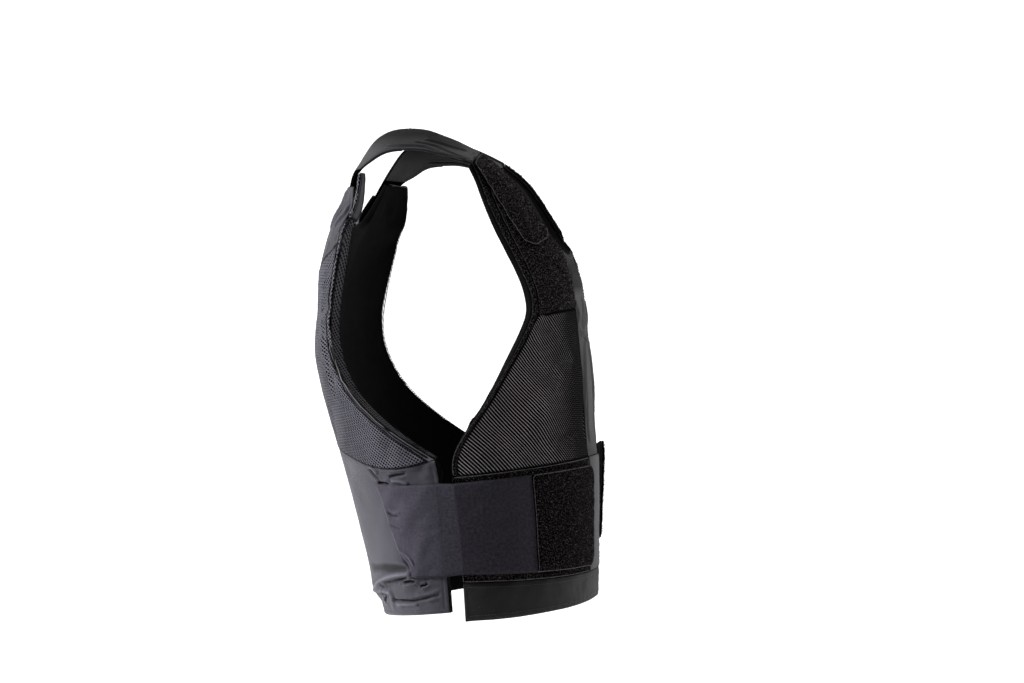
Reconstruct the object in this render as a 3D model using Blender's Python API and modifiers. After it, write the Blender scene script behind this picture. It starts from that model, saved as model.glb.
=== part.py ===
"""Stab vest, in the form that it keeps when it is worn and fastened.

A padded front panel and a padded back panel hang from two shoulder straps, whose pile
tabs lie on the front yokes. Two wide elastic side straps run from the back panel to the
waist band in front. Metres, +Z up, the front faces -Y and the wearer's right is -X.
The origin is the middle of the line over both shoulders that the straps rest on.

Each panel is a lattice of rows (hem to shoulder) and columns (centre to side edge) on a
rounded body section. The cloth pieces that are sewn on a panel use the same lattice,
so they lie flat on it, and their seams are its rows and columns.
"""
import math

import bmesh
import bpy
import numpy as np
from mathutils import Vector

COLLECTION = "stab_vest"

# Thicknesses
FRONT_THICKNESS = 0.009
BACK_THICKNESS = 0.011
CLOTH = 0.0014
MESH_CLOTH = 0.0022
PILE = 0.0022
TAB = 0.0028
STRAP = 0.0028
ELASTIC = 0.0022

# Clearances
SEAT = 0.0004
TAB_SEAT = 0.0007
SEAM = 0.0004

# How high each layer starts over the panel's face
FIRST_LAYER = SEAT
TAB_LAYER = FIRST_LAYER + PILE + TAB_SEAT
ELASTIC_LAYER = FIRST_LAYER + PILE + TAB_SEAT
FLAP_LAYER = SEAT + STRAP + 2 * TAB_SEAT

# Widths along the body. A binding changes its width between two heights
BINDING_HEIGHTS = (-0.232, -0.190)
FRONT_BINDINGS = (0.005, 0.009)
BACK_BINDINGS = (0.006, 0.006)
TAB_WIDTH = 0.047
STRAP_COLUMNS = 4

# At its corners a piece is inset further than along its sides, by this factor
CORNER_INSET = 1.4

# The left side strap is fastened higher than the right one, and slantwise: its upper
# corner stands off a little and its lower corner keeps back from the centre
LEFT_END_LIFT = 0.0015
LEFT_END_RISE = 0.023
LEFT_END_SLANT = 0.45
SLANT_COLUMN = 3

# How far the yoke flap's arm side drops back to the panel at the strap pocket's mouth
FLAP_MOUTH_DROP = 0.25

# How far the corners of the side straps' front ends are cut back
END_CHAMFER = 0.010

# The padding thins out toward the shoulder ends: heights and shares of the full thickness
PADDING_HEIGHTS = (-0.120, -0.045)
PADDING_SHARES = (1.0, 0.4)

# The corners of a tab's free end are cut back by this share of the first row
TAB_CORNER = 0.35

# How finely a row's curve is worked out, and how a row falls from the centre to the side
CURVE_STEPS = 240
SLOPE_POWER = 1.5

# Sections of the front panel's face, hem to shoulder.
# height at the centre and at the side edge, half width, y at the centre, y where the body
# is widest, roundness power, y of the side edge, x of the neck line
FRONT_SECTIONS = (
    (-0.497, -0.508, 0.172, -0.1780, -0.0580, 2.3, -0.0640, 0.045),
    (-0.484, -0.490, 0.172, -0.1785, -0.0570, 2.3, -0.0630, 0.045),
    (-0.460, -0.462, 0.172, -0.1765, -0.0540, 2.3, -0.0610, 0.045),
    (-0.400, -0.409, 0.171, -0.1765, -0.0490, 2.3, -0.0560, 0.045),
    (-0.344, -0.3605, 0.173, -0.1755, -0.0420, 2.3, -0.0510, 0.045),
    (-0.318, -0.338, 0.175, -0.1715, -0.0390, 2.3, -0.0520, 0.045),
    (-0.270, -0.288, 0.180, -0.1700, -0.0280, 2.3, -0.0830, 0.045),
    (-0.224, -0.238, 0.182, -0.1660, -0.0120, 2.3, -0.1085, 0.045),
    (-0.186, -0.197, 0.177, -0.1620, -0.0010, 2.4, -0.1250, 0.045),
    (-0.150, -0.170, 0.168, -0.1560, 0.0060, 2.5, -0.1225, 0.045),
    (-0.118, -0.148, 0.157, -0.1480, 0.0030, 2.5, -0.1130, 0.046),
    (-0.103, -0.136, 0.153, -0.1410, -0.0010, 2.5, -0.1070, 0.060),
    (-0.070, -0.088, 0.150, -0.1195, -0.0020, 2.5, -0.0830, 0.072),
    (-0.043, -0.056, 0.150, -0.0960, -0.0240, 2.5, -0.0710, 0.080),
    (-0.021, -0.039, 0.150, -0.0650, -0.0600, 2.5, -0.0630, 0.086),
)

# Sections of the back panel's face, with the same columns
BACK_SECTIONS = (
    (-0.512, -0.500, 0.172, 0.0430, -0.0580, 2.3, -0.0487, 0.050),
    (-0.500, -0.490, 0.172, 0.0455, -0.0570, 2.3, -0.0480, 0.050),
    (-0.486, -0.477, 0.172, 0.0535, -0.0560, 2.3, -0.0470, 0.050),
    (-0.470, -0.463, 0.172, 0.0565, -0.0540, 2.3, -0.0455, 0.050),
    (-0.404, -0.405, 0.171, 0.0730, -0.0490, 2.3, -0.0410, 0.050),
    (-0.340, -0.350, 0.173, 0.0900, -0.0420, 2.3, -0.0350, 0.050),
    (-0.328, -0.343, 0.174, 0.0930, -0.0400, 2.3, -0.0330, 0.050),
    (-0.280, -0.296, 0.180, 0.1070, -0.0300, 2.3, 0.0400, 0.050),
    (-0.230, -0.236, 0.182, 0.1175, -0.0200, 2.3, 0.0800, 0.050),
    (-0.190, -0.180, 0.178, 0.1150, -0.0140, 2.3, 0.0840, 0.050),
    (-0.160, -0.116, 0.166, 0.1130, -0.0080, 2.4, 0.0715, 0.050),
    (-0.127, -0.100, 0.161, 0.1050, -0.0040, 2.5, 0.0665, 0.050),
    (-0.085, -0.080, 0.157, 0.0870, 0.0000, 2.5, 0.0575, 0.052),
    (-0.060, -0.061, 0.158, 0.0770, 0.0020, 2.5, 0.0545, 0.068),
    (-0.045, -0.047, 0.160, 0.0725, 0.0020, 2.5, 0.0535, 0.078),
)

# Rows that are seams: name, height at the centre, steps up to the next one
FRONT_ROWS = (
    ("hem", -0.497, 1),
    ("band_bottom", -0.466, 1),
    ("strap_bottom", -0.459, 4),
    ("strap_top", -0.351, 1),
    ("band_top", -0.344, 1),
    ("underarm", -0.318, 5),
    ("yoke_bottom", -0.186, 3),
    ("neckline", -0.118, 1),
    ("tab_end", -0.103, 4),
    ("shoulder", -0.021, 0),
)
BACK_ROWS = (
    ("hem", -0.512, 3),
    ("strap_bottom", -0.470, 4),
    ("strap_top", -0.362, 1),
    ("mesh_bottom", -0.328, 5),
    ("yoke_bottom", -0.160, 3),
    ("neckline", -0.085, 1),
    ("flap_top", -0.060, 1),
    ("shoulder", -0.045, 0),
)

# Columns of the front, centre to edge: up to the neck line, where the centre panel and the
# side straps end, then shares of the way from there to the armhole binding
FRONT_INNER_X = (0.000, 0.015, 0.030)
FRONT_SHARES = (0.11, 0.22, 0.34, 0.47, 0.60, 0.74, 0.87)
FRONT_NECK_COLUMN = 3
PILE_START_COLUMN = 8
FRONT_BINDING_COLUMN = 11
FRONT_EDGE_COLUMN = 12

# Columns of the back: the neck line, the line where the side strap is sewn on, the binding
BACK_INNER_X = (0.000, 0.017, 0.034)
BACK_SHARES = (0.25, 0.5, 0.75)
BACK_NECK_COLUMN = 3
SEWN_COLUMN = 7
BACK_BINDING_COLUMN = 10
BACK_EDGE_COLUMN = 11
SEWN_FROM_EDGE_TOP = 0.078
SEWN_FROM_EDGE_BOTTOM = 0.042
SEWN_LARGEST_SHARE = 0.45

# The lower edge of the back mesh dips between the centre and the side edge
MESH_DIP = 0.016
MESH_DIP_SPREAD = 0.030

# The neckline is round: its middle lies lower than its corners
NECK_DIP = 0.010
NECK_DIP_SPREAD = 0.035

# Shoulder strap from the front seam over the shoulder to the back panel's top edge.
# y and z of the neck-side edge, y and z of the arm-side edge, all on the underside
STRAP_STATIONS = (
    (-0.0440, -0.0130, -0.0440, -0.0330),
    (-0.0270, -0.0060, -0.0250, -0.0275),
    (-0.0100, 0.0000, -0.0080, -0.0245),
    (0.0090, 0.0018, 0.0090, -0.0242),
    (0.0270, 0.0000, 0.0220, -0.0255),
    (0.0430, -0.0080, 0.0325, -0.0295),
    (0.0545, -0.0218, 0.0440, -0.0370),
)
STRAP_NECK_X_FRONT = 0.086
STRAP_NECK_X_BACK = 0.079
STRAP_ARM_X = 0.130

# Colours and finishes: red, green, blue, roughness
FINISHES = {
    "plain_cloth": (0.045, 0.042, 0.046, 0.75),
    "mesh_cloth": (0.030, 0.029, 0.033, 0.80),
    "loop_pile": (0.010, 0.009, 0.010, 0.95),
    "elastic": (0.052, 0.048, 0.062, 0.70),
    "panel_cloth": (0.015, 0.014, 0.015, 0.85),
}


# Small helpers

def clear_scene():
    for old in list(bpy.data.objects):
        bpy.data.objects.remove(old, do_unlink=True)


def smooth_value(heights, values, height):
    """A smooth curve through the table's values."""
    slopes = np.gradient(values, heights)
    k = int(np.clip(np.searchsorted(heights, height) - 1, 0, len(heights) - 2))
    span = heights[k + 1] - heights[k]
    t = (height - heights[k]) / span
    rise = values[k] + (values[k + 1] - values[k]) * t * t * (3 - 2 * t)
    start = slopes[k] * span * t * (1 - t) ** 2
    end = slopes[k + 1] * span * t * t * (t - 1)
    return rise + start + end


def row_heights(stops):
    """Heights of all rows, and the row number of each named seam."""
    heights = []
    named = {}
    for (name, low, steps), upper in zip(stops, stops[1:] + (stops[-1],)):
        named[name] = len(heights)
        count = max(steps, 1)
        heights += [low + (upper[1] - low) * k / count for k in range(count)]
    return heights, named


# The body lattice

class Lattice:
    """Rows and columns of points on one panel's face, with their outward normals."""

    def __init__(self, sections, stops, inner_x, shares, bindings, sewn=False):
        """sewn is true on the back, where the side straps are sewn on."""
        self.table = np.array(sections)
        self.heights, self.row = row_heights(stops)
        self.inner_x = inner_x
        self.shares = shares
        self.bindings = bindings
        self.sewn = sewn
        self.points = np.array([self.row_points(h) for h in self.heights])
        self.normals = self.face_normals()

    def section(self, height):
        heights = self.table[:, 0]
        return [smooth_value(heights, self.table[:, k], height)
                for k in range(1, self.table.shape[1])]

    def row_points(self, height):
        """Points of one row at the columns' places along its curve."""
        edge_z, half_width, centre_y, side_y, power, edge_y, neck_x = self.section(height)
        depth = centre_y - side_y
        edge_share = max((edge_y - side_y) / depth, 0.0)
        edge_angle = math.acos(min(edge_share ** (power / 2), 1.0))
        curve = []
        for k in range(CURVE_STEPS + 1):
            angle = edge_angle * k / CURVE_STEPS
            x = half_width * math.sin(angle) ** (2 / power)
            y = side_y + depth * math.cos(angle) ** (2 / power)
            share = angle / edge_angle
            z = height + (edge_z - height) * share ** SLOPE_POWER
            z -= self.mesh_dip(height, share) + self.neck_dip(height, x / neck_x)
            curve.append((x, y, z))
        curve = np.array(curve)
        steps = np.linalg.norm(np.diff(curve, axis=0), axis=1)
        along = np.concatenate(([0.0], np.cumsum(steps)))
        places = self.column_places(height, curve, along, neck_x)
        return [[np.interp(place, along, curve[:, k]) for k in range(3)] for place in places]

    def neck_dip(self, height, share):
        """How far the rows near the neckline sag between its corners."""
        near = (height - self.heights[self.row["neckline"]]) / NECK_DIP_SPREAD
        return NECK_DIP * math.exp(-near * near) * max(0.0, 1 - share * share)

    def mesh_dip(self, height, share):
        """How far the back rows sag near the mesh's lower edge."""
        if not self.sewn:
            return 0.0
        near = (height - self.heights[self.row["mesh_bottom"]]) / MESH_DIP_SPREAD
        return MESH_DIP * math.exp(-near * near) * math.sin(math.pi * share ** 2)

    def column_places(self, height, curve, along, neck_x):
        """Distance of each column from the centre, measured along the row."""
        edge = along[-1]
        bind = edge - np.interp(height, BINDING_HEIGHTS, self.bindings)
        neck = np.interp(neck_x, curve[:, 0], along)
        inner = [np.interp(x, curve[:, 0], along) for x in self.inner_x]
        if not self.sewn:
            shared = [neck + (bind - neck) * share for share in self.shares]
            return inner + [neck] + shared + [bind, edge]
        low = self.heights[self.row["strap_bottom"]]
        high = self.heights[self.row["strap_top"]]
        rise = float(np.clip((height - low) / (high - low), 0, 1))
        sewn = SEWN_FROM_EDGE_BOTTOM + (SEWN_FROM_EDGE_TOP - SEWN_FROM_EDGE_BOTTOM) * rise
        sewn = edge - min(sewn, SEWN_LARGEST_SHARE * (edge - neck))
        before = [neck + (sewn - neck) * share for share in self.shares]
        after = [sewn + (bind - sewn) * k / 3 for k in (1, 2)]
        return inner + [neck] + before + [sewn] + after + [bind, edge]

    def face_normals(self):
        across = np.gradient(self.points, axis=1)
        up = np.gradient(self.points, axis=0)
        normals = np.cross(across, up)
        normals /= np.linalg.norm(normals, axis=2, keepdims=True)
        outward = np.sign(self.points[:1, :1, 1])
        normals *= np.sign(normals[:1, :1, 1]) * outward
        normals[:, 0, 0] = 0.0
        return normals / np.linalg.norm(normals, axis=2, keepdims=True)

    def at(self, row, distance_from_neck, neck_column):
        """Point and normal on a row, at a distance from its neck line."""
        points = self.points[row, neck_column:]
        steps = np.linalg.norm(np.diff(points, axis=0), axis=1)
        along = np.concatenate(([0.0], np.cumsum(steps)))
        place = min(distance_from_neck, along[-1])
        point = [np.interp(place, along, points[:, k]) for k in range(3)]
        normals = self.normals[row, neck_column:]
        normal = np.array([np.interp(place, along, normals[:, k]) for k in range(3)])
        return np.array(point), normal / np.linalg.norm(normal)


# Making pieces

def finish_material(slot):
    material = bpy.data.materials.new(slot)
    red, green, blue, roughness = FINISHES[slot]
    material.use_nodes = True
    shader = material.node_tree.nodes["Principled BSDF"]
    shader.inputs["Base Color"].default_value = (red, green, blue, 1.0)
    shader.inputs["Roughness"].default_value = roughness
    material.diffuse_color = (red, green, blue, 1.0)
    return material


def grid_object(name, grid, slot, keep=None):
    """A cloth surface through a grid of points; cells that keep refuses are left out."""
    rows, columns = grid.shape[0] - 1, grid.shape[1] - 1
    bm = bmesh.new()
    bmesh.ops.create_grid(bm, x_segments=columns, y_segments=rows, size=1.0)
    spots = {}
    for vert in bm.verts:
        column = round((vert.co.x + 1) / 2 * columns)
        row = round((vert.co.y + 1) / 2 * rows)
        spots[vert] = (row, column)
        vert.co = Vector(grid[row, column])
    if keep:
        unwanted = [face for face in bm.faces
                    if not keep(min(spots[v][0] for v in face.verts),
                                min(spots[v][1] for v in face.verts))]
        bmesh.ops.delete(bm, geom=unwanted, context="FACES")
    mesh = bpy.data.meshes.new(name)
    bm.to_mesh(mesh)
    bm.free()
    mesh.shade_smooth()
    mesh.materials.append(finish_material(slot))
    piece = bpy.data.objects.new(name, mesh)
    bpy.data.collections[COLLECTION].objects.link(piece)
    return piece


def face_outward(piece, outward):
    """Turns the faces so that the middle one looks along the outward direction."""
    mesh = piece.data
    total = Vector()
    for polygon in mesh.polygons:
        total += polygon.normal * polygon.area
    if total.dot(Vector(outward)) < 0:
        mesh.flip_normals()


def add_mirror(piece):
    mirror = piece.modifiers.new("both_sides", "MIRROR")
    mirror.merge_threshold = 0.0001


def add_wall(piece, thickness, side):
    """Gives the surface its thickness: side 1 grows outward and -1 inward."""
    wall = piece.modifiers.new("wall", "SOLIDIFY")
    wall.thickness = thickness
    wall.offset = side
    wall.use_quality_normals = True


def inset_borders(grid, keep, mirrored, distance):
    """Moves border points a little inward, which leaves the gap between neighbours."""
    rows, columns = grid.shape[0] - 1, grid.shape[1] - 1
    moved = grid.copy()
    for row in range(rows + 1):
        for column in range(columns + 1):
            cells = [(r, c) for r in (row - 1, row) for c in (column - 1, column)
                     if 0 <= r < rows and 0 <= c < columns and (keep is None or keep(r, c))]
            full = 2 if mirrored and column == 0 else 4
            if not cells or len(cells) == full:
                continue
            middle = sum(grid[r:r + 2, c:c + 2].mean(axis=(0, 1)) for r, c in cells)
            way = middle / len(cells) - grid[row, column]
            if mirrored and column == 0:
                way[0] = 0.0
            reach = distance * (CORNER_INSET if len(cells) in (1, 3) and full == 4 else 1.0)
            moved[row, column] += way / np.linalg.norm(way) * reach
    return moved


def sewn_piece(name, lattice, rows, columns, layer, thickness, slot, side=0, keep=None,
               lift=None):
    """A piece of cloth on a panel between two rows and two columns of its lattice.

    side 0 makes one piece over both sides, -1 the wearer's right one and 1 the left one.
    """
    low, high = rows
    first, last = columns
    points = lattice.points[low:high + 1, first:last + 1]
    normals = lattice.normals[low:high + 1, first:last + 1]
    points = inset_borders(points, keep, side == 0, SEAM)
    raised = np.full(points.shape[:2], float(layer))
    if lift:
        raised += np.array([[lift(low + r, first + c) for c in range(points.shape[1])]
                            for r in range(points.shape[0])])
    grid = points + normals * raised[:, :, None]
    if side < 0:
        grid = grid * np.array((-1.0, 1.0, 1.0))
    piece = grid_object(name, grid, slot, keep)
    centre = normals.mean(axis=(0, 1))
    face_outward(piece, (centre[0] * (side or 1), centre[1], centre[2]))
    if side == 0:
        add_mirror(piece)
    add_wall(piece, thickness, 1)
    return piece


def side_name(base, side):
    return base + ("_right" if side < 0 else "_left")


# The padded panels

def build_panel(name, lattice, neck_column, thickness):
    neckline = lattice.row["neckline"]

    def keep(row, column):
        return row < neckline or column >= neck_column

    piece = grid_object(name, lattice.points, "panel_cloth", keep)
    face_outward(piece, (0.0, lattice.points[0, 0, 1], 0.0))
    padding = piece.vertex_groups.new(name="padding")
    for vert in piece.data.vertices:
        share = np.interp(vert.co.z, PADDING_HEIGHTS, PADDING_SHARES)
        padding.add([vert.index], float(share), "REPLACE")
    add_mirror(piece)
    add_wall(piece, thickness, -1)
    piece.modifiers["wall"].vertex_group = padding.name


# The cloth sewn on the front

def build_front_cloth(front):
    row = front.row
    edge = FRONT_EDGE_COLUMN
    bind = FRONT_BINDING_COLUMN
    sewn_piece("front_hem", front, (row["hem"], row["band_bottom"]), (0, edge),
               FIRST_LAYER, CLOTH, "plain_cloth")
    neck = FRONT_NECK_COLUMN
    sewn_piece("front_waist_centre", front, (row["band_bottom"], row["band_top"]), (0, neck),
               FIRST_LAYER, PILE, "elastic")
    sewn_piece("front_centre_panel", front, (row["band_top"], row["neckline"]), (0, neck),
               FIRST_LAYER, CLOTH, "plain_cloth")
    for side in (-1, 1):
        sewn_piece(side_name("front_waist_loop", side), front,
                   (row["band_bottom"], row["band_top"]), (neck, edge),
                   FIRST_LAYER, PILE, "loop_pile", side)
        sewn_piece(side_name("front_mesh", side), front,
                   (row["band_top"], row["yoke_bottom"]), (neck, bind),
                   FIRST_LAYER, MESH_CLOTH, "mesh_cloth", side)
        sewn_piece(side_name("front_yoke_loop", side), front,
                   (row["yoke_bottom"], row["shoulder"]), (neck, bind),
                   FIRST_LAYER, PILE, "loop_pile", side)
        sewn_piece(side_name("front_armhole_binding", side), front,
                   (row["band_top"], row["shoulder"]), (bind, edge),
                   FIRST_LAYER, CLOTH, "plain_cloth", side)


# The cloth sewn on the back

def build_back_cloth(back):
    row = back.row
    edge = BACK_EDGE_COLUMN
    bind = BACK_BINDING_COLUMN
    sewn_piece("back_lower_panel", back, (row["hem"], row["mesh_bottom"]), (0, edge),
               FIRST_LAYER, CLOTH, "plain_cloth")
    sewn_piece("back_mesh", back, (row["mesh_bottom"], row["yoke_bottom"]), (0, bind),
               FIRST_LAYER, MESH_CLOTH, "mesh_cloth")

    def yoke_shape(r, c):
        return row["yoke_bottom"] + r < row["neckline"] or c >= BACK_NECK_COLUMN

    def flap_lift(r, c):
        """The yoke's upper part stands off to take the end of the shoulder strap."""
        if c < BACK_NECK_COLUMN:
            return 0.0
        share = (r - row["yoke_bottom"] - 1) / (row["neckline"] - row["yoke_bottom"] - 1)
        down = max(0, c - SEWN_COLUMN) / (bind - SEWN_COLUMN)
        down = down * down * (FLAP_MOUTH_DROP if r == row["flap_top"] else 1.0)
        return (FLAP_LAYER - FIRST_LAYER) * float(np.clip(share, 0, 1)) * (1 - down)

    sewn_piece("back_yoke_flap", back, (row["yoke_bottom"], row["flap_top"]), (0, bind),
               FIRST_LAYER, CLOTH, "plain_cloth", keep=yoke_shape, lift=flap_lift)
    for side in (-1, 1):
        sewn_piece(side_name("back_armhole_binding", side), back,
                   (row["mesh_bottom"], row["shoulder"]), (bind, edge),
                   FIRST_LAYER, CLOTH, "plain_cloth", side)


# The shoulder straps and their pile tabs

def strap_grid(front, back):
    """Underside of the right half's strap, front seam to its end in the back pocket."""
    stations = []
    spread = [k / STRAP_COLUMNS for k in range(STRAP_COLUMNS + 1)]
    seam = [front.at(front.row["shoulder"], TAB_WIDTH * s, FRONT_NECK_COLUMN) for s in spread]
    stations.append([point + normal * TAB_LAYER for point, normal in seam])
    count = len(STRAP_STATIONS)
    for k, (neck_y, neck_z, arm_y, arm_z) in enumerate(STRAP_STATIONS):
        along = (k + 1) / (count + 1)
        neck_x = STRAP_NECK_X_FRONT + (STRAP_NECK_X_BACK - STRAP_NECK_X_FRONT) * along
        neck = np.array((neck_x, neck_y, neck_z))
        arm = np.array((STRAP_ARM_X, arm_y, arm_z))
        stations.append([neck + (arm - neck) * s for s in spread])
    for name in ("shoulder", "flap_top", "neckline"):
        row = back.points[back.row[name], BACK_NECK_COLUMN:BACK_BINDING_COLUMN + 1]
        room = np.linalg.norm(np.diff(row, axis=0), axis=1).sum() - 2 * SEAM
        width = min(TAB_WIDTH, room)
        held = [back.at(back.row[name], width * s, BACK_NECK_COLUMN) for s in spread]
        stations.append([point + normal * (SEAT + TAB_SEAT) for point, normal in held])
    return np.array(stations)


def build_straps(front, back):
    grid = strap_grid(front, back)
    tab_rows = range(front.row["tab_end"], front.row["shoulder"] + 1)
    spread = [k / STRAP_COLUMNS for k in range(STRAP_COLUMNS + 1)]
    tab = np.array([[point + normal * TAB_LAYER for point, normal in
                     (front.at(r, TAB_WIDTH * s, FRONT_NECK_COLUMN) for s in spread)]
                    for r in tab_rows])
    tab[0, 0] += (tab[1, 0] - tab[0, 0]) * TAB_CORNER
    tab[0, -1] += (tab[1, -1] - tab[0, -1]) * TAB_CORNER
    for side in (-1, 1):
        flip = np.array((side, 1.0, 1.0))
        strap = grid_object(side_name("shoulder_strap", side),
                            inset_borders(grid, None, False, SEAM) * flip, "plain_cloth")
        face_outward(strap, (0.0, 0.0, 1.0))
        add_wall(strap, STRAP, 1)
        pile = grid_object(side_name("shoulder_tab", side),
                           inset_borders(tab, None, False, SEAM) * flip, "loop_pile")
        face_outward(pile, (0.0, -1.0, 0.3))
        add_wall(pile, TAB, 1)


# The elastic side straps and their pile ends

def side_strap_face(front, back, lift_end, rise_end, slant_end):
    """Underside of a side strap and its normals, from its front end to its back seam."""
    front_rows = slice(front.row["strap_bottom"], front.row["strap_top"] + 1)
    back_rows = slice(back.row["strap_bottom"], back.row["strap_top"] + 1)
    front_points = front.points[front_rows, FRONT_NECK_COLUMN:].copy()
    front_normals = front.normals[front_rows, FRONT_NECK_COLUMN:]
    upward = np.linspace(0.0, 1.0, len(front_points))
    raised = np.full(front_points.shape[:2], ELASTIC_LAYER)
    raised[:, 0] += lift_end * upward
    raised[:, 1] += lift_end * upward / 2
    columns = np.arange(front_points.shape[1])
    for r, points in enumerate(front_points):
        back_by = np.clip(SLANT_COLUMN - columns, 0, None) * slant_end * (1 - upward[r])
        moved = [np.interp(columns + back_by, columns, points[:, k]) for k in range(3)]
        front_points[r] = np.transpose(moved)
    toward_end = np.linspace(1.0, 0.0, front_points.shape[1])
    front_points[:, :, 2] += rise_end * toward_end
    front_part = front_points + front_normals * raised[:, :, None]
    back_points = back.points[back_rows, SEWN_COLUMN:][:, ::-1]
    back_normals = back.normals[back_rows, SEWN_COLUMN:][:, ::-1]
    back_part = back_points + back_normals * (FIRST_LAYER + CLOTH + TAB_SEAT)
    face = np.concatenate((front_part, back_part), axis=1)
    return face, np.concatenate((front_normals, back_normals), axis=1)


def chamfer_front_end(piece, count):
    """Cuts back the upper corner of a side strap's front end, or with a count of 2 both."""
    bm = bmesh.new()
    bm.from_mesh(piece.data)
    corners = [vert for vert in bm.verts if len(vert.link_edges) == 2]
    front = sorted(corners, key=lambda vert: abs(vert.co.x))[:2]
    front.sort(key=lambda vert: -vert.co.z)
    bmesh.ops.bevel(bm, geom=front[:count], offset=END_CHAMFER, segments=1, profile=0.5,
                    affect="VERTICES", material=-1)
    bm.to_mesh(piece.data)
    bm.free()


def build_side_straps(front, back):
    last = PILE_START_COLUMN - FRONT_NECK_COLUMN
    for side in (-1, 1):
        on_left = side > 0
        flip = np.array((side, 1.0, 1.0))
        face, normals = side_strap_face(front, back, LEFT_END_LIFT * on_left,
                                        LEFT_END_RISE * on_left, LEFT_END_SLANT * on_left)
        corners = 1 if on_left else 2
        strap = grid_object(side_name("side_strap", side),
                            inset_borders(face, None, False, SEAM) * flip, "elastic")
        chamfer_front_end(strap, corners)
        face_outward(strap, (side, -0.5, 0.0))
        add_wall(strap, ELASTIC, 1)
        patch = face[:, :last + 1] + normals[:, :last + 1] * (ELASTIC + TAB_SEAT)
        pile = grid_object(side_name("side_strap_pile", side),
                           inset_borders(patch, None, False, SEAM) * flip, "loop_pile")
        chamfer_front_end(pile, corners)
        face_outward(pile, (side * 0.5, -1.0, 0.0))
        add_wall(pile, PILE, 1)


def build():
    clear_scene()
    collection = bpy.data.collections.new(COLLECTION)
    bpy.context.scene.collection.children.link(collection)
    front = Lattice(FRONT_SECTIONS, FRONT_ROWS, FRONT_INNER_X, FRONT_SHARES, FRONT_BINDINGS)
    back = Lattice(BACK_SECTIONS, BACK_ROWS, BACK_INNER_X, BACK_SHARES, BACK_BINDINGS, True)
    build_panel("front_panel", front, FRONT_NECK_COLUMN, FRONT_THICKNESS)
    build_panel("back_panel", back, BACK_NECK_COLUMN, BACK_THICKNESS)
    build_front_cloth(front)
    build_back_cloth(back)
    build_straps(front, back)
    build_side_straps(front, back)


build()
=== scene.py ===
"""Looks of the stab vest: padded panels, sewn cloth, spacer mesh, loop pile, elastic, seams.

Every soft piece is grown from its own plain solid. The solid's outer side becomes a smooth
sheet that passes through the same points, is flattened once to give its weave a map in
metres, takes the folds of the worn vest, and gets its edge profile, wall and stitches.
Metres, +Z up, the front faces -Y and the wearer's right is -X.
"""

import math

import bmesh
import bpy
import numpy as np
from mathutils import Matrix, Vector, kdtree, noise
from mathutils.bvhtree import BVHTree


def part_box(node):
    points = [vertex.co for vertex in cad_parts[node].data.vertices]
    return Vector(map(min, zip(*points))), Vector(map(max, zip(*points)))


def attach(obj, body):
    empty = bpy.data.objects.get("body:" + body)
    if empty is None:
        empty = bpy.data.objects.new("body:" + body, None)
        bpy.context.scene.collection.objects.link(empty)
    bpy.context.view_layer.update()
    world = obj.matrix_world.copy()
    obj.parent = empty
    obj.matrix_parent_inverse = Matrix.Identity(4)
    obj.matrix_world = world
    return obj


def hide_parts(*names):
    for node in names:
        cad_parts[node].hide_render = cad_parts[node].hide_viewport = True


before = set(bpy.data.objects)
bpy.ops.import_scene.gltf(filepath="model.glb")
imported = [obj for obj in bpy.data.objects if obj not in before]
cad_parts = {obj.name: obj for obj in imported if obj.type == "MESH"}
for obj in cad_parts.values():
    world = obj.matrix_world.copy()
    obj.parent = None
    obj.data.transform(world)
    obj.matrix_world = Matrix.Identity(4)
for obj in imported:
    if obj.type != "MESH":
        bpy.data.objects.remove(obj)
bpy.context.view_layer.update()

# Camera: level, seen from the wearer's right and a little from the front
CAMERA_PLACE = (-2.959, -0.504, -0.222)
CAMERA_HEADING = -82.0
CAMERA_LENS = 97.03

# Studio: the strength of the world's light in the room and from the backdrop, and the slopes
# toward +X between which it changes; how bright the paper looks, its own glow behind the vest,
# and between which X that glow starts
ROOM_LIGHT = 0.075
BACKDROP_LIGHT = 0.95
BACKDROP_SLOPES = (-0.1, 0.7)
PAPER_WHITE = 0.95
PAPER_GLOW = 0.7
PAPER_GLOW_X = (0.3, 1.8)
LIGHT_TARGET = (0.0, -0.03, -0.25)
LIGHTS = (
    # name, place, size, power, colour
    ("soft_box_behind", (-0.6, 2.6, 0.8), 1.1, 92.0, (0.95, 0.95, 1.0)),
    ("soft_box_front", (0.5, -2.6, 0.5), 1.3, 4.0, (1.0, 0.97, 0.97)),
    ("soft_box_above", (-0.9, 0.3, 2.4), 1.0, 7.0, (1.0, 0.98, 0.97)),
)
FLOOR_Z = -1.05
SWEEP_NEAR = -9.0
SWEEP_FAR = 3.2
SWEEP_RADIUS = 1.4
SWEEP_TOP = 4.5
SWEEP_HALF_WIDTH = 9.0
SWEEP_STEPS = 12

# Making sheets: the angles up to which triangles become quads again, and faces stay on one side
MERGE_DISTANCE = 0.00002
QUAD_ANGLE = math.radians(35)
QUAD_SHAPE = math.radians(80)
SIDE_ANGLE = math.radians(50)
SHEET_LEVELS = 3
PANEL_LEVELS = 2
FIT_ROUNDS = 3
BORDER_STEPS = 4
MAP_NAME = "cloth"
BODY_CENTRE = Vector((0.0, -0.035, -0.25))
STRAP_CENTRE_DROP = Vector((0, 0, 0.1))

# A sheet's flat size: its least side, and the share of its box below which it is a slanting
# strip, given as a little wider than its area over its length
LEAST_SIDE = 0.01
STRIP_SHARE = 0.3
STRIP_EASE = 1.05

# Walls
CLOTH_WALL = 0.0012
PILE_WALL = 0.0018
STRAP_WALL = 0.0024
ELASTIC_WALL = 0.0018
MESH_GROUND_WALL = 0.0006
ARMHOLE_CLOTH_WALL = 0.0008

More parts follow.
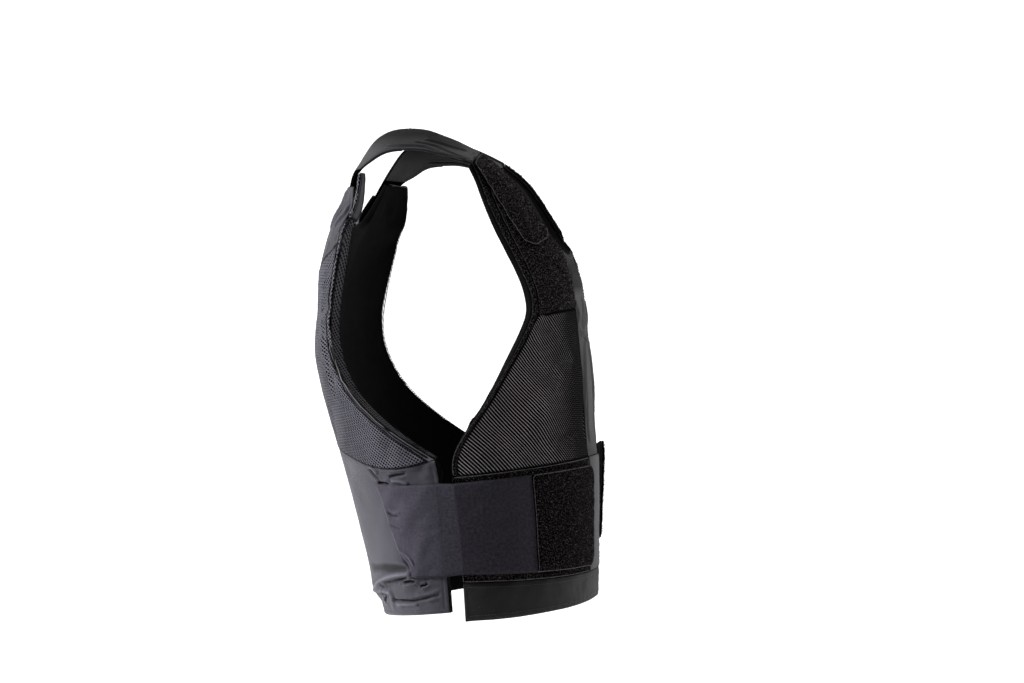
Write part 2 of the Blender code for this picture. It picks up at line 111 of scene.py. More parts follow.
# Edges of the sheets: how far they drop, and over what width
CLOTH_EDGE = (0.0006, 0.0025)
BINDING_EDGE = (0.0008, 0.002)
PILE_EDGE = (0.0008, 0.002)
STRAP_EDGE = (0.0012, 0.004)
ELASTIC_EDGE = (0.0006, 0.002)

# Seams: their distance from the edge, and the width and depth of the groove along them
CLOTH_SEAM = (0.0045, 0.0012, 0.0004)
PILE_SEAM = (0.0032, 0.0009, 0.0005)
STRAP_SEAM = (0.0035, 0.0012, 0.0005)

# Unevenness: how high the lumps of a finish are, and their size
BINDING_LUMPS = (0.0011, 0.007)
WALL_LUMPS = (0.0010, 0.007)
PILE_LUMPS = (0.0005, 0.0045)

# How far a sheet lies outside its solid's surface, or inside it if below zero
PADDING_LIFT = -0.0004
MESH_GROUND_LIFT = -0.0010
GUSSET_LIFT = 0.0003
WALL_CLOTH_LIFT = 0.0009

# The padded panels: how sharp their rims stay, and how full they are
RIM_CREASE = 0.9

# Ribs of the elastic
RIB_PITCH = 0.0009

# Sewing thread: how far a stitch stands out, as a share of its radius, and how near to any edge
# its row may come, as a share of the row's distance from its own edge
STITCH_PITCH = 0.0031
STITCH_LENGTH = 0.0022
STITCH_RADIUS = 0.00028
STITCH_RISE = 0.4
SEAM_CLEARANCE = 0.86

# Spacer mesh: the diagonal of a cell, how much of it is hole, how wide a cell's rim would be with
# no hole, how far past the cloth its middle may lie, and the heights of the threads' middle and rim
HOLE_PITCH = 0.0042
HOLE_SHARE = 0.55
FULL_RIM = 0.29 * HOLE_PITCH
CELL_REACH = 0.45 * HOLE_PITCH
THREAD_RISE = 0.0007
THREAD_SINK = 0.0002

# Cloth simulation of the padded covers: their slack is below zero where the cloth is loose, they
# are held fully along a rim and less over the ease beside it, and move in or out within a reach
COVER_FRAMES = 20
COVER_STIFFNESS = 0.5
COVER_DRAG = 3.0
COVER_PRESSURE = 2.0
COVER_SLACK = -0.015
COVER_RIM = 0.004
COVER_EASE = 0.014
COVER_LEAST_HELD = 0.02
COVER_REACH = (-0.0012, 0.0018)

# Reading the simulated covers: how many points, their softening, and how far they reach
COVER_NEIGHBOURS = 3
COVER_SOFTENING = 0.0002
COVER_FADE = 0.015

# The slack of the whole vest, as random waves
SLACK = (
    # height, waves per metre, shift of the noise
    (0.0006, 14.0, Vector((0, 0, 0))),
    (0.0002, 55.0, Vector((7.3, 1.1, 4.2))),
)

# Folds: how deep the trough beside a crest is, and the height that takes the full shade
FOLD_TROUGH = 0.6
FOLD_SHADE = 0.0022

# Painted light on the folds: how much paler the painted highlight on a crest is, the shades at which the
# painted shade in a trough is darkest and starts, and how dark and how dull, with less sheen, that painted
# shade is there
CREST_LIGHT = 2.3
TROUGH_SHADES = (-1.1, -0.12)
TROUGH_DARKNESS = 0.9
TROUGH_DULLING = 0.6

# Along folds narrower than this, in millimetres, a sheet is divided further, up to this many
# of their widths away. The padding keeps further back below folds than they are wide
NARROW_FOLD = 5.5
FOLD_SPREAD = 2.2
FOLD_CUTS = 2
PADDING_SPREAD = 1.8

# The walls along the rear armholes, farther out than a least distance from the middle: cloth
# down to the gussets' top, and mesh from there to their low end. Between its two heights the
# piping turns into mesh
ARMHOLE_X = 0.09
WALL_TOP = -0.030
GUSSET_TOP = -0.098
GUSSET_LOW = -0.345
PIPING_HEIGHTS = (-0.229, -0.225)

# Below this height a shoulder strap's rear end is in its pocket, and is painted black as the pocket's
# painted shade
STRAP_END_Z = -0.041

# Heights between which a shoulder strap's top is painted darker toward the neck as painted shade, and by how
# much
STRAP_PAINTED_SHADE_HEIGHTS = (-0.022, -0.004)
STRAP_PAINTED_SHADE_SHARE = 0.7

# Heights between which the front's centre panel turns into its black facing, and by how much
FACING_HEIGHTS = (-0.173, -0.163)
FACING_SHARE = 0.8

# Heights between which the front is painted paler upward as painted light, and the share of that painted
# light its pile has at the waist
PAINTED_LIGHT_HEIGHTS = (-0.34, -0.28)
WAIST_PAINTED_LIGHT_SHARE = 0.6

# The pile's light selvedge, partly a real selvedge and partly a painted highlight, runs all round, but on
# the yokes it ends above their black lower edge
WHOLE_RIM = -1.0
YOKE_RIM_END = -0.178
RIM_FADE = 0.01

# Tones that several finishes turn to: the painted shade in the troughs of folds, and dull black
PAINTED_TROUGH_SHADE = (0.004, 0.004, 0.005)
DULL_BLACK = (0.002, 0.0018, 0.002)

# Loops of pile: how many on a square metre, their size, how much they lean, and how far from the
# edge they start
LOOPS_PER_AREA = 190000.0
LOOP_HEIGHT = 0.0011
LOOP_HALF_WIDTH = 0.00055
LOOP_THREAD = 0.00014
LOOP_LEAN = 0.45
LOOP_SIZES = (0.6, 1.4)
PILE_MARGIN = 0.0013

# Shade of the loops: the middle, the contrast and the size of their clumps, the most that a clump
# has, and the shares of it that its loops take
LOOP_SHADE = 0.18
CLUMP_CONTRAST = 1.3
CLUMP_SIZE = 0.0021
MOST_SHADE = 0.8
LOOP_SHARES = (0.3, 1.0)

# Filled while the scene is built: shader groups, finishes, simulated covers and rows of stitches
GROUPS = {}
FINISH = {}
COVERS = []
STITCHES = {}


# Camera, light and studio

def build_camera():
    camera = bpy.data.objects.new("camera", bpy.data.cameras.new("camera"))
    camera.data.lens = CAMERA_LENS
    camera.location = CAMERA_PLACE
    camera.rotation_euler = (math.radians(90), 0, math.radians(CAMERA_HEADING))
    bpy.context.scene.collection.objects.link(camera)
    bpy.context.scene.camera = camera


def add_light(name, place, size, power, colour):
    """A round soft box that looks at the middle of the vest."""
    light = bpy.data.lights.new(name, "AREA")
    light.shape = "DISK"
    light.size = size
    light.energy = power
    light.color = colour
    lamp = bpy.data.objects.new(name, light)
    lamp.location = place
    lamp.rotation_euler = (Vector(LIGHT_TARGET) - Vector(place)).to_track_quat("-Z", "Y").to_euler()
    bpy.context.scene.collection.objects.link(lamp)


def build_world():
    """White all round for the eye; as light, a bright backdrop and a dim room before it."""
    world = bpy.data.worlds.new("studio")
    world.use_nodes = True
    tree = world.node_tree
    direction = add_node(tree, "TexCoord").outputs["Generated"]
    slope = axes_of(tree, direction)["X"]
    room = graded(tree, slope, *BACKDROP_SLOPES, ROOM_LIGHT, BACKDROP_LIGHT)
    seen = add_node(tree, "LightPath").outputs["Is Camera Ray"]
    strength = add_node(tree, "Mix", {0: seen, 2: room, 3: 1.0}).outputs[0]
    tree.links.new(strength, tree.nodes["Background"].inputs["Strength"])
    tree.nodes["Background"].inputs["Color"].default_value = (1.0, 1.0, 1.0, 1.0)
    bpy.context.scene.world = world
    bpy.context.scene.view_settings.view_transform = "Standard"


def build_studio():
    """Three soft boxes and a white sweep: floor, round corner and backdrop in one."""
    for light in LIGHTS:
        add_light(*light)
    bm = bmesh.new()
    profile = [bm.verts.new((SWEEP_NEAR, 0, FLOOR_Z))]
    centre = Vector((SWEEP_FAR - SWEEP_RADIUS, 0, FLOOR_Z + SWEEP_RADIUS))
    for step in range(SWEEP_STEPS + 1):
        turn = math.radians(90) * step / SWEEP_STEPS
        outward = Vector((math.sin(turn), 0, -math.cos(turn)))
        profile.append(bm.verts.new(centre + SWEEP_RADIUS * outward))
    profile.append(bm.verts.new((SWEEP_FAR, 0, SWEEP_TOP)))
    edges = [bm.edges.new(pair) for pair in zip(profile, profile[1:])]
    for vert in bm.verts:
        vert.co.y = -SWEEP_HALF_WIDTH
    swept = bmesh.ops.extrude_edge_only(bm, edges=edges)["geom"]
    bmesh.ops.translate(bm, verts=[g for g in swept if isinstance(g, bmesh.types.BMVert)],
                        vec=(0, 2 * SWEEP_HALF_WIDTH, 0))
    bmesh.ops.recalc_face_normals(bm, faces=bm.faces)
    finished("studio_sweep", bm, studio_material())


# Shader helpers

def add_node(tree, kind, inputs=None, **settings):
    """A shader node with its settings, its inputs given as values or as sockets to link."""
    made = tree.nodes.new("ShaderNode" + kind)
    for key, value in settings.items():
        setattr(made, key, value)
    for key, value in (inputs or {}).items():
        if isinstance(value, bpy.types.NodeSocket):
            tree.links.new(value, made.inputs[key])
        else:
            made.inputs[key].default_value = value
    return made


def maths(tree, operation, first, second=0.0, third=0.0):
    return add_node(tree, "Math", {0: first, 1: second, 2: third}, operation=operation).outputs[0]


def graded(tree, value, low, high, out_low=0.0, out_high=1.0):
    """The value stretched from one range to another, without leaving the new range."""
    return add_node(tree, "MapRange", {"Value": value, "From Min": low, "From Max": high,
                                       "To Min": out_low, "To Max": out_high}).outputs["Result"]


def object_place(tree):
    return add_node(tree, "TexCoord").outputs["Object"]


def cloth_map(tree):
    return add_node(tree, "UVMap", uv_map=MAP_NAME).outputs[0]


def axes_of(tree, place):
    return add_node(tree, "SeparateXYZ", {0: place}).outputs


def stored(tree, name):
    """The value that the mesh holds for each of its points under a name."""
    return add_node(tree, "Attribute", attribute_name=name).outputs["Fac"]


def clouds(tree, place, scale, detail=2.0):
    """Soft random patches, from 0 to 1."""
    return add_node(tree, "TexNoise", {"Vector": place, "Scale": scale, "Detail": detail}).outputs[0]


def waves(tree, along, length):
    """Waves of a length in metres along a coordinate, from -1 to 1."""
    return maths(tree, "COSINE", maths(tree, "MULTIPLY", along, 2 * math.pi / length))


def blended(tree, share, first, second):
    """A colour between two, each an RGB triple or a socket."""
    mix = add_node(tree, "Mix", data_type="RGBA")
    for socket, value in ((mix.inputs[0], share), (mix.inputs[6], first), (mix.inputs[7], second)):
        if isinstance(value, bpy.types.NodeSocket):
            tree.links.new(value, socket)
        else:
            socket.default_value = value if socket == mix.inputs[0] else (*value, 1.0)
    return mix.outputs[2]


def new_group(name, inputs, outputs):
    """An empty shader group, its inputs given with their default values, or None for a vector."""
    tree = bpy.data.node_groups.new(name, "ShaderNodeTree")
    for label, default in inputs.items():
        kind = "NodeSocketVector" if default is None else "NodeSocketFloat"
        socket = tree.interface.new_socket(label, in_out="INPUT", socket_type=kind)
        if default is not None:
            socket.default_value = default
    for label in outputs:
        tree.interface.new_socket(label, in_out="OUTPUT", socket_type="NodeSocketFloat")
    return tree, tree.nodes.new("NodeGroupInput").outputs, tree.nodes.new("NodeGroupOutput").inputs


def weave_group():
    """Plain weave: threads over and under each other, at a pitch in metres."""
    tree, given, out = new_group("woven_threads", {"Map": None, "Pitch": 0.0006}, ["Height", "Shade"])
    turns = maths(tree, "DIVIDE", 2 * math.pi, given["Pitch"])
    axes = axes_of(tree, given["Map"])
    across, along = (maths(tree, "SINE", maths(tree, "MULTIPLY", axes[axis], turns)) for axis in "XY")
    crossing = maths(tree, "MULTIPLY", across, along)
    yarns = []
    for stretch in ((1500, 60, 1), (60, 1500, 1)):
        streaks = add_node(tree, "Mapping", {"Vector": given["Map"], "Scale": stretch})
        yarns.append(clouds(tree, streaks.outputs[0], 1.0))
    uneven = maths(tree, "ADD", *yarns)
    tree.links.new(maths(tree, "MULTIPLY_ADD", crossing, 0.35, uneven), out["Height"])
    tree.links.new(graded(tree, uneven, 0.5, 1.5), out["Shade"])
    return tree


def mottle_group():
    """Soft large patches and small flecks, as cloth has after handling."""
    tree, given, out = new_group("handled_cloth", {"Map": None, "Patch": 0.06}, ["Patches", "Flecks"])
    patches = clouds(tree, given["Map"], maths(tree, "DIVIDE", 1.0, given["Patch"]), 3.0)
    tree.links.new(graded(tree, patches, 0.3, 0.7), out["Patches"])
    cells = add_node(tree, "TexVoronoi", {"Vector": given["Map"], "Scale": 420.0, "Randomness": 1.0})
    rare = maths(tree, "GREATER_THAN", axes_of(tree, cells.outputs["Color"])["X"], 0.93)
    near = maths(tree, "LESS_THAN", cells.outputs["Distance"], 0.16)
    tree.links.new(maths(tree, "MULTIPLY", rare, near), out["Flecks"])
    return tree


def edge_group():
    """A mask along a sheet's edge: its full share up to one distance, and gone at the next."""
    tree, given, out = new_group("sewn_edge", {"Distance": 0.0, "Full": 0.0006, "Gone": 0.0014,
                                               "Share": 1.0}, ["Edge"])
    tree.links.new(graded(tree, given["Distance"], given["Full"], given["Gone"], given["Share"], 0.0),
                   out["Edge"])
    return tree


def fold_group():
    """Masks of a fold's painted highlight on its crest and painted shade in its trough, from its shade."""
    tree, given, out = new_group("painted_fold_light", {"Shade": 0.0}, ["Crest", "Trough"])
    tree.links.new(graded(tree, given["Shade"], 0.25, 1.3, 0.0, 0.75), out["Crest"])
    tree.links.new(graded(tree, given["Shade"], *TROUGH_SHADES, TROUGH_DARKNESS, 0.0), out["Trough"])
    return tree


def make_groups():
    GROUPS["woven_threads"] = weave_group()
    GROUPS["handled_cloth"] = mottle_group()
    GROUPS["sewn_edge"] = edge_group()
    GROUPS["painted_fold_light"] = fold_group()


def grouped(tree, name, **inputs):
    """The named group placed in a material, with its inputs."""
    made = tree.nodes.new("ShaderNodeGroup")
    made.node_tree = GROUPS[name]
    for key, value in inputs.items():
        if isinstance(value, bpy.types.NodeSocket):
            tree.links.new(value, made.inputs[key])
        else:
            made.inputs[key].default_value = value
    return made.outputs


def surface(tree):
    """The inputs of a material's shader."""
    return tree.nodes["Principled BSDF"].inputs


def new_material(name, roughness, specular=0.5, sheen=0.0, sheen_roughness=0.4):
    material = bpy.data.materials.new(name)
    material.use_nodes = True
    inputs = surface(material.node_tree)
    inputs["Roughness"].default_value = roughness
    inputs["Specular IOR Level"].default_value = specular
    inputs["Sheen Weight"].default_value = sheen
    inputs["Sheen Roughness"].default_value = sheen_roughness
    return material, material.node_tree


def paint(tree, tone):
    tree.links.new(tone, surface(tree)["Base Color"])


def bump(tree, height, distance, strength):
    made = add_node(tree, "Bump", {"Height": height, "Distance": distance, "Strength": strength})
    tree.links.new(made.outputs[0], surface(tree)["Normal"])


def height_above(tree, low, high):
    """0 below the lower height, 1 above the upper one."""
    return graded(tree, axes_of(tree, object_place(tree))["Z"], low, high)


def edge_mask(tree, full, gone, share=1.0):
    """The mask along a sheet's edge, between two distances from its border."""
    return grouped(tree, "sewn_edge", Distance=stored(tree, "border"), Full=full, Gone=gone,
                   Share=share)["Edge"]


def fold_shaded(tree, tone, light):
    """Folds get a painted highlight on their crests, and painted shade in their troughs, where their sheen
    is also dulled.
    """
    shade = stored(tree, "folded")
    masks = grouped(tree, "painted_fold_light", Shade=shade)
    crest = tuple(CREST_LIGHT * part for part in light)
    tone = blended(tree, masks["Crest"], tone, crest)
    tone = blended(tree, masks["Trough"], tone, PAINTED_TROUGH_SHADE)
    sheen = surface(tree)["Sheen Weight"]
    full = sheen.default_value
    dull = (1 - TROUGH_DULLING * TROUGH_DARKNESS) * full
    tree.links.new(graded(tree, shade, *TROUGH_SHADES, dull, full), sheen)
    return tone


def blacken(tree, tone, share):
    """Paints a cloth in its tone, turned to dull black by a share."""
    paint(tree, blended(tree, share, tone, DULL_BLACK))
    left = maths(tree, "SUBTRACT", 1.0, share)
    for label in ("Specular IOR Level", "Sheen Weight"):
        full = surface(tree)[label].default_value
        tree.links.new(maths(tree, "MULTIPLY", left, full), surface(tree)[label])


# Materials

def studio_material():
    """White paper: even to the eye, and as light bright only behind the vest."""
    material, tree = new_material("studio_white", 0.9)
    place = object_place(tree)
    paint(tree, blended(tree, clouds(tree, place, 40.0), (0.62, 0.62, 0.62), (0.66, 0.66, 0.66)))
    glow = graded(tree, axes_of(tree, place)["X"], *PAPER_GLOW_X, 0.0, PAPER_GLOW)
    seen = add_node(tree, "LightPath").outputs["Is Camera Ray"]
    strength = add_node(tree, "Mix", {0: seen, 2: glow, 3: PAPER_WHITE}).outputs[0]
    surface(tree)["Emission Color"].default_value = (1.0, 1.0, 1.0, 1.0)
    tree.links.new(strength, surface(tree)["Emission Strength"])
    return material


def plain_cloth_material(name, colour, light, sheen, rim, specular=0.35, rim_width=0.0013):
    """Fine plain weave with a soft sheen, a little uneven, with its own tone along the edges."""
    material, tree = new_material(name, 0.72, specular, sheen, 0.45)
    place = cloth_map(tree)
    weave = grouped(tree, "woven_threads", Map=place, Pitch=0.00065)
    handled = grouped(tree, "handled_cloth", Map=place, Patch=0.05)
    tone = blended(tree, maths(tree, "MULTIPLY", weave["Shade"], 0.5), colour, light)
    tone = blended(tree, maths(tree, "MULTIPLY", handled["Patches"], 0.5), tone, light)
    tone = blended(tree, edge_mask(tree, 0.6 * rim_width, 1.4 * rim_width, 0.85), tone, rim)
    # painted highlight on the crests of folds, painted shade in their troughs
    tone = fold_shaded(tree, tone, light)
    tone = blended(tree, maths(tree, "MULTIPLY", handled["Flecks"], 0.4), tone, (0.2, 0.2, 0.21))
    paint(tree, tone)
    bump(tree, weave["Height"], 0.00018, 0.6)
    return material, tree, tone


def front_cloth_material():
    """The plain cloth of the front, with painted light that makes it paler on the chest, and faced with
    black at the neck.
    """
    material, tree, tone = plain_cloth_material("front_cloth", (0.021, 0.0195, 0.021),
                                                (0.042, 0.038, 0.040), 0.08, (0.05, 0.047, 0.05))
    # painted light: the front is painted paler upward, toward the chest
    painted_chest_light = maths(tree, "MULTIPLY", height_above(tree, *PAINTED_LIGHT_HEIGHTS), 0.55)
    tone = blended(tree, painted_chest_light, tone, (0.130, 0.121, 0.125))
    blacken(tree, tone, maths(tree, "MULTIPLY", height_above(tree, *FACING_HEIGHTS), FACING_SHARE))
    return material


def strap_material():
    """The strap's cloth, with painted shade darkening its top toward the neck, and its rear end in the
    pocket painted black as the pocket's painted shade.
    """
    material, tree, tone = plain_cloth_material("strap_cloth", (0.013, 0.012, 0.013),
                                                (0.046, 0.043, 0.046), 0.1, (0.003, 0.0028, 0.003))
    # painted shade on the strap's top, toward the neck
    painted_neck_shade = maths(tree, "MULTIPLY", height_above(tree, *STRAP_PAINTED_SHADE_HEIGHTS), STRAP_PAINTED_SHADE_SHARE)
    # painted shade of the pocket: the strap's rear end, behind and below STRAP_END_Z, is painted black
    axes = axes_of(tree, object_place(tree))
    behind = graded(tree, axes["Y"], 0.0, 0.001)
    below = graded(tree, axes["Z"], STRAP_END_Z, STRAP_END_Z - 0.001)
    painted_pocket_shade = maths(tree, "MULTIPLY", behind, below)
    blacken(tree, tone, maths(tree, "MAXIMUM", painted_neck_shade, painted_pocket_shade))
    return material


def piping_material():
    """Piping with a light line along both edges, and above its top only mesh that goes round."""
    material, tree, tone = plain_cloth_material("back_piping", (0.005, 0.0045, 0.005),
                                                (0.012, 0.011, 0.013), 0.0, (0.42, 0.40, 0.43),
                                                specular=0.1, rim_width=0.0009)
    axes = axes_of(tree, cloth_map(tree))
    across, along = (waves(tree, axes[axis], HOLE_PITCH) for axis in "XY")
    threads = graded(tree, maths(tree, "MULTIPLY", across, along), -0.1, 0.25)
    mesh = blended(tree, threads, (0.003, 0.003, 0.004), (0.20, 0.196, 0.215))
    paint(tree, blended(tree, height_above(tree, *PIPING_HEIGHTS), tone, mesh))
    return material


def elastic_material():
    """Wide elastic: a close even knit in violet grey, softly mottled, with painted light making it paler
    toward the back.
    """
    material, tree = new_material("elastic", 0.75, 0.2, 0.3)
    place = cloth_map(tree)
    knit = clouds(tree, place, 360.0, 4.0)
    handled = grouped(tree, "handled_cloth", Map=place, Patch=0.02)
    # painted light: paler toward the back, where the light from behind falls
    behind = graded(tree, axes_of(tree, object_place(tree))["Y"], -0.06, 0.0, 0.0, 0.45)
    tone = blended(tree, graded(tree, knit, 0.3, 0.7), (0.024, 0.021, 0.030), (0.070, 0.064, 0.084))
    tone = blended(tree, maths(tree, "MULTIPLY", handled["Patches"], 0.3), tone, (0.055, 0.050, 0.066))
    tone = blended(tree, edge_mask(tree, 0.0006, 0.0014, 0.7), tone, (0.012, 0.011, 0.013))
    tone = blended(tree, behind, tone, (0.114, 0.103, 0.140))
    # painted highlight on the crests of folds, painted shade in their troughs
    paint(tree, fold_shaded(tree, tone, (0.085, 0.078, 0.10)))
    turns = maths(tree, "MULTIPLY", axes_of(tree, place)["Y"], 2 * math.pi / RIB_PITCH)
    ribs = maths(tree, "SINE", turns)
    bump(tree, maths(tree, "MULTIPLY_ADD", ribs, 0.15, knit), 0.00012, 0.6)
    return material


def pile_painted_light(tree, light):
    """The light tone of pile, with painted light: weaker at the waist than on the chest."""
    waist = tuple(WAIST_PAINTED_LIGHT_SHARE * part for part in light)
    return blended(tree, height_above(tree, *PAINTED_LIGHT_HEIGHTS), waist, light)


def pile_base_material(name, light, rim, rim_end):
    """The ground of loop pile: black, lumpy, with a flat woven selvedge just inside its edge, its pale tone
    partly a painted highlight.
    """
    material, tree = new_material(name, 0.95, 0.03)
    place = cloth_map(tree)
    patches = clouds(tree, place, 600.0)
    tone = blended(tree, graded(tree, patches, 0.51, 0.65), (0.002, 0.0016, 0.0018),
                   pile_painted_light(tree, light))
    # the selvedge: a real woven edge, painted pale partly as a painted highlight
    selvedge_and_highlight = maths(tree, "MULTIPLY", edge_mask(tree, 0.0008, 0.0013),
                     height_above(tree, rim_end - RIM_FADE, rim_end + RIM_FADE))
    selvedge_and_highlight = maths(tree, "MULTIPLY", selvedge_and_highlight, graded(tree, patches, 0.42, 0.58, 0.4, 1.0))
    tone = blended(tree, selvedge_and_highlight, tone, rim)
    paint(tree, blended(tree, edge_mask(tree, 0.0002, 0.0005), tone, (0.004, 0.0036, 0.004)))
    lumps = add_node(tree, "TexVoronoi", {"Vector": place, "Scale": 900.0})
    bump(tree, maths(tree, "ADD", lumps.outputs["Distance"], patches), 0.0006, 0.8)
    return material


def pile_loop_material():
    """The loops themselves: shiny thin nylon, each a little lighter or darker, with painted light paler on
    the chest than at the waist.
    """
    material, tree = new_material("pile_loops", 0.5, 0.25)
    light = pile_painted_light(tree, (0.72, 0.63, 0.67))
    paint(tree, blended(tree, stored(tree, "shade"), DULL_BLACK, light))
    return material


def mesh_thread_material(name, dark, light, crossing, sheen, specular, far, course):
    """Knitted threads of the spacer mesh. The higher the crossing, the more only those are bright
    that run down to the right. Seen along the cloth they are painted darker as painted shade, down to the
    share far of their light, and the courses, if they have a length, show as ribs with painted shade between
    them there."""
    material, tree = new_material(name, 0.6, specular, sheen)
    place = cloth_map(tree)
    axes = axes_of(tree, place)
    fibres = clouds(tree, place, 2600.0)
    uneven = maths(tree, "MULTIPLY_ADD", clouds(tree, place, 30.0, 3.0), 0.2, fibres)
    slanting = waves(tree, maths(tree, "ADD", axes["X"], axes["Y"]), HOLE_PITCH)
    # painted shade: threads seen along the cloth are painted darker
    facing = add_node(tree, "LayerWeight", {"Blend": 0.5}).outputs["Facing"]
    upper = maths(tree, "MULTIPLY", graded(tree, slanting, crossing, 0.9),
                  graded(tree, facing, 0.25, 0.62, 1.0, far))
    tone = blended(tree, maths(tree, "MULTIPLY", graded(tree, uneven, 0.35, 0.7), upper), dark, light)
    if course:
        ribs = graded(tree, waves(tree, axes["Y"], course), -0.2, 0.7)
        # painted shade between the ribs, seen along the cloth
        grazing = graded(tree, facing, 0.3, 0.6, 0.0, 0.7)
        between = tuple(0.3 * part for part in dark)
        tone = blended(tree, maths(tree, "MULTIPLY", ribs, grazing), tone, between)
    paint(tree, blended(tree, edge_mask(tree, 0.0006, 0.0022, 0.9), tone, (0.002, 0.002, 0.002)))
    bump(tree, fibres, 0.0002, 0.5)
    return material


def mesh_ground_material():
    """What shows through the holes of the spacer mesh: next to black."""
    material, tree = new_material("mesh_ground", 0.95, 0.02)
    knit = clouds(tree, cloth_map(tree), 900.0)
    paint(tree, blended(tree, knit, (0.0008, 0.0007, 0.0008), (0.0030, 0.0028, 0.0031)))
    bump(tree, knit, 0.0003, 0.6)
    return material


def lining_material():
    """Black close-woven cover of the panels."""
    material, tree = new_material("panel_lining", 0.85, 0.04)
    place = cloth_map(tree)
    weave = grouped(tree, "woven_threads", Map=place, Pitch=0.0008)
    handled = grouped(tree, "handled_cloth", Map=place, Patch=0.07)
    threads = maths(tree, "MULTIPLY", weave["Shade"], 0.6)
    tone = blended(tree, threads, (0.004, 0.0038, 0.004), (0.011, 0.0105, 0.0115))
    patches = maths(tree, "MULTIPLY", handled["Patches"], 0.3)
    paint(tree, blended(tree, patches, tone, (0.012, 0.0115, 0.0125)))
    bump(tree, weave["Height"], 0.0002, 0.6)
    return material


def sewing_thread_material():
    """Twisted grey thread."""
    material, tree = new_material("sewing_thread", 0.5, 0.5, 0.3)
    twist = clouds(tree, object_place(tree), 700.0)
    paint(tree, blended(tree, twist, (0.0495, 0.04725, 0.0495), (0.11, 0.105, 0.11)))
    return material


def make_finishes():
    for name, colour, light, sheen, rim, specular in (
            ("back_cloth", (0.046, 0.0437, 0.056), (0.086, 0.0815, 0.103), 0.4, (0.09, 0.087, 0.103), 0.35),
            ("flap_cloth", (0.026, 0.0245, 0.030), (0.075, 0.0705, 0.085), 0.25, (0.006, 0.006, 0.007), 0.3),
            ("wall_cloth", (0.06, 0.057, 0.063), (0.42, 0.40, 0.43), 0.3, (0.003, 0.003, 0.003), 0.3)):
        FINISH[name] = plain_cloth_material(name, colour, light, sheen, rim, specular)[0]
    FINISH["back_piping"] = piping_material()
    FINISH["front_cloth"] = front_cloth_material()
    FINISH["strap_cloth"] = strap_material()
    FINISH["elastic"] = elastic_material()
    # name, light of the pile, rim: the selvedge's tone, partly a painted highlight, and where that rim ends
    for name, light, rim, rim_end in (
            ("pile", (0.150, 0.128, 0.139), (0.30, 0.29, 0.30), WHOLE_RIM),
            ("yoke_pile", (0.150, 0.128, 0.139), (0.18, 0.172, 0.18), YOKE_RIM_END),
            ("front_binding", (0.150, 0.135, 0.145), (0.10, 0.095, 0.10), WHOLE_RIM)):
        FINISH[name] = pile_base_material(name, light, rim, rim_end)
    FINISH["pile_loops"] = pile_loop_material()
    for name, dark, light, crossing, sheen, specular, far, course in (
            ("front_threads", (0.002, 0.0018, 0.002), (0.90, 0.845, 0.875), 0.45, 0.0, 0.03, 0.08, 0.002),
            ("back_threads", (0.016, 0.016, 0.019), (0.31, 0.307, 0.355), -4.0, 0.3, 0.12, 0.55, 0.003),
            ("gusset_threads", (0.02, 0.020, 0.022), (0.36, 0.352, 0.385), -4.0, 0.05, 0.1, 0.8, 0)):
        FINISH[name] = mesh_thread_material(name, dark, light, crossing, sheen, specular, far, course)
    FINISH["mesh_ground"] = mesh_ground_material()
    FINISH["lining"] = lining_material()
    FINISH["thread"] = sewing_thread_material()


# Mesh helpers

def meshed(name, bm):
    """A mesh from a bmesh, which is freed."""
    mesh = bpy.data.meshes.new(name)
    bm.to_mesh(mesh)
    bm.free()
    return mesh


def dressed(mesh, material):
    """The mesh, shaded smooth, in one material only."""
    mesh.shade_smooth()
    mesh.materials.clear()
    mesh.materials.append(material)
    return mesh


def placed(name, mesh):
    piece = bpy.data.objects.new(name, mesh)
    bpy.context.scene.collection.objects.link(piece)
    return piece


def finished(name, bm, material):
    """A smooth-shaded object at the origin, from a bmesh."""
    return placed(name, dressed(meshed(name, bm), material))


def positions(mesh):
    flat = np.empty(len(mesh.vertices) * 3, np.float32)
    mesh.vertices.foreach_get("co", flat)
    return flat.reshape(-1, 3).astype(float)


def set_positions(mesh, points):
    mesh.vertices.foreach_set("co", points.astype(np.float32).ravel())
    mesh.update()


def vertex_normals(mesh):
    flat = np.empty(len(mesh.vertices) * 3, np.float32)
    mesh.vertices.foreach_get("normal", flat)
    return flat.reshape(-1, 3).astype(float)


def merged_copy(node):
    """A copy of a CAD node's mesh with shared corners and quads again."""
    bm = bmesh.new()
    bm.from_mesh(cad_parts[node].data)
    bmesh.ops.remove_doubles(bm, verts=bm.verts, dist=MERGE_DISTANCE)
    bmesh.ops.join_triangles(bm, faces=bm.faces, angle_face_threshold=QUAD_ANGLE,
                             angle_shape_threshold=QUAD_SHAPE)
    return bm


def sides_of(bm):
    """The faces of a shell in groups, parted by its sharp edges."""
    left = set(bm.faces)
    sides = []
    while left:
        side = [left.pop()]
        for face in side:
            for edge in face.edges:
                if len(edge.link_faces) == 2 and edge.calc_face_angle(0.0) < SIDE_ANGLE:
                    fresh = [other for other in edge.link_faces if other in left]
                    left.difference_update(fresh)
                    side.extend(fresh)
        sides.append(side)
    return sides


def keep_outer_side(bm, centre):
    """Leaves only the side of the shell that looks away from the centre."""

    def outwardness(side):
        return sum(f.calc_area() * f.normal.dot((f.calc_center_median() - centre).normalized())
                   for f in side)

    kept = set(max(sides_of(bm), key=outwardness))
    bmesh.ops.delete(bm, geom=[f for f in bm.faces if f not in kept], context="FACES")


def keep_armhole_wall(bm, side, low, high):
    """Leaves only the wall along a rear armhole between two heights: no part of the two largest
    sides, which are the panel's outside and inside."""
    walls = sorted(sides_of(bm), key=lambda faces: -sum(f.calc_area() for f in faces))[2:]
    kept = set()
    for face in (f for faces in walls for f in faces):
        middle = face.calc_center_median()
        if middle.x * side > ARMHOLE_X and low < middle.z < high:
            kept.add(face)
    bmesh.ops.delete(bm, geom=[f for f in bm.faces if f not in kept], context="FACES")


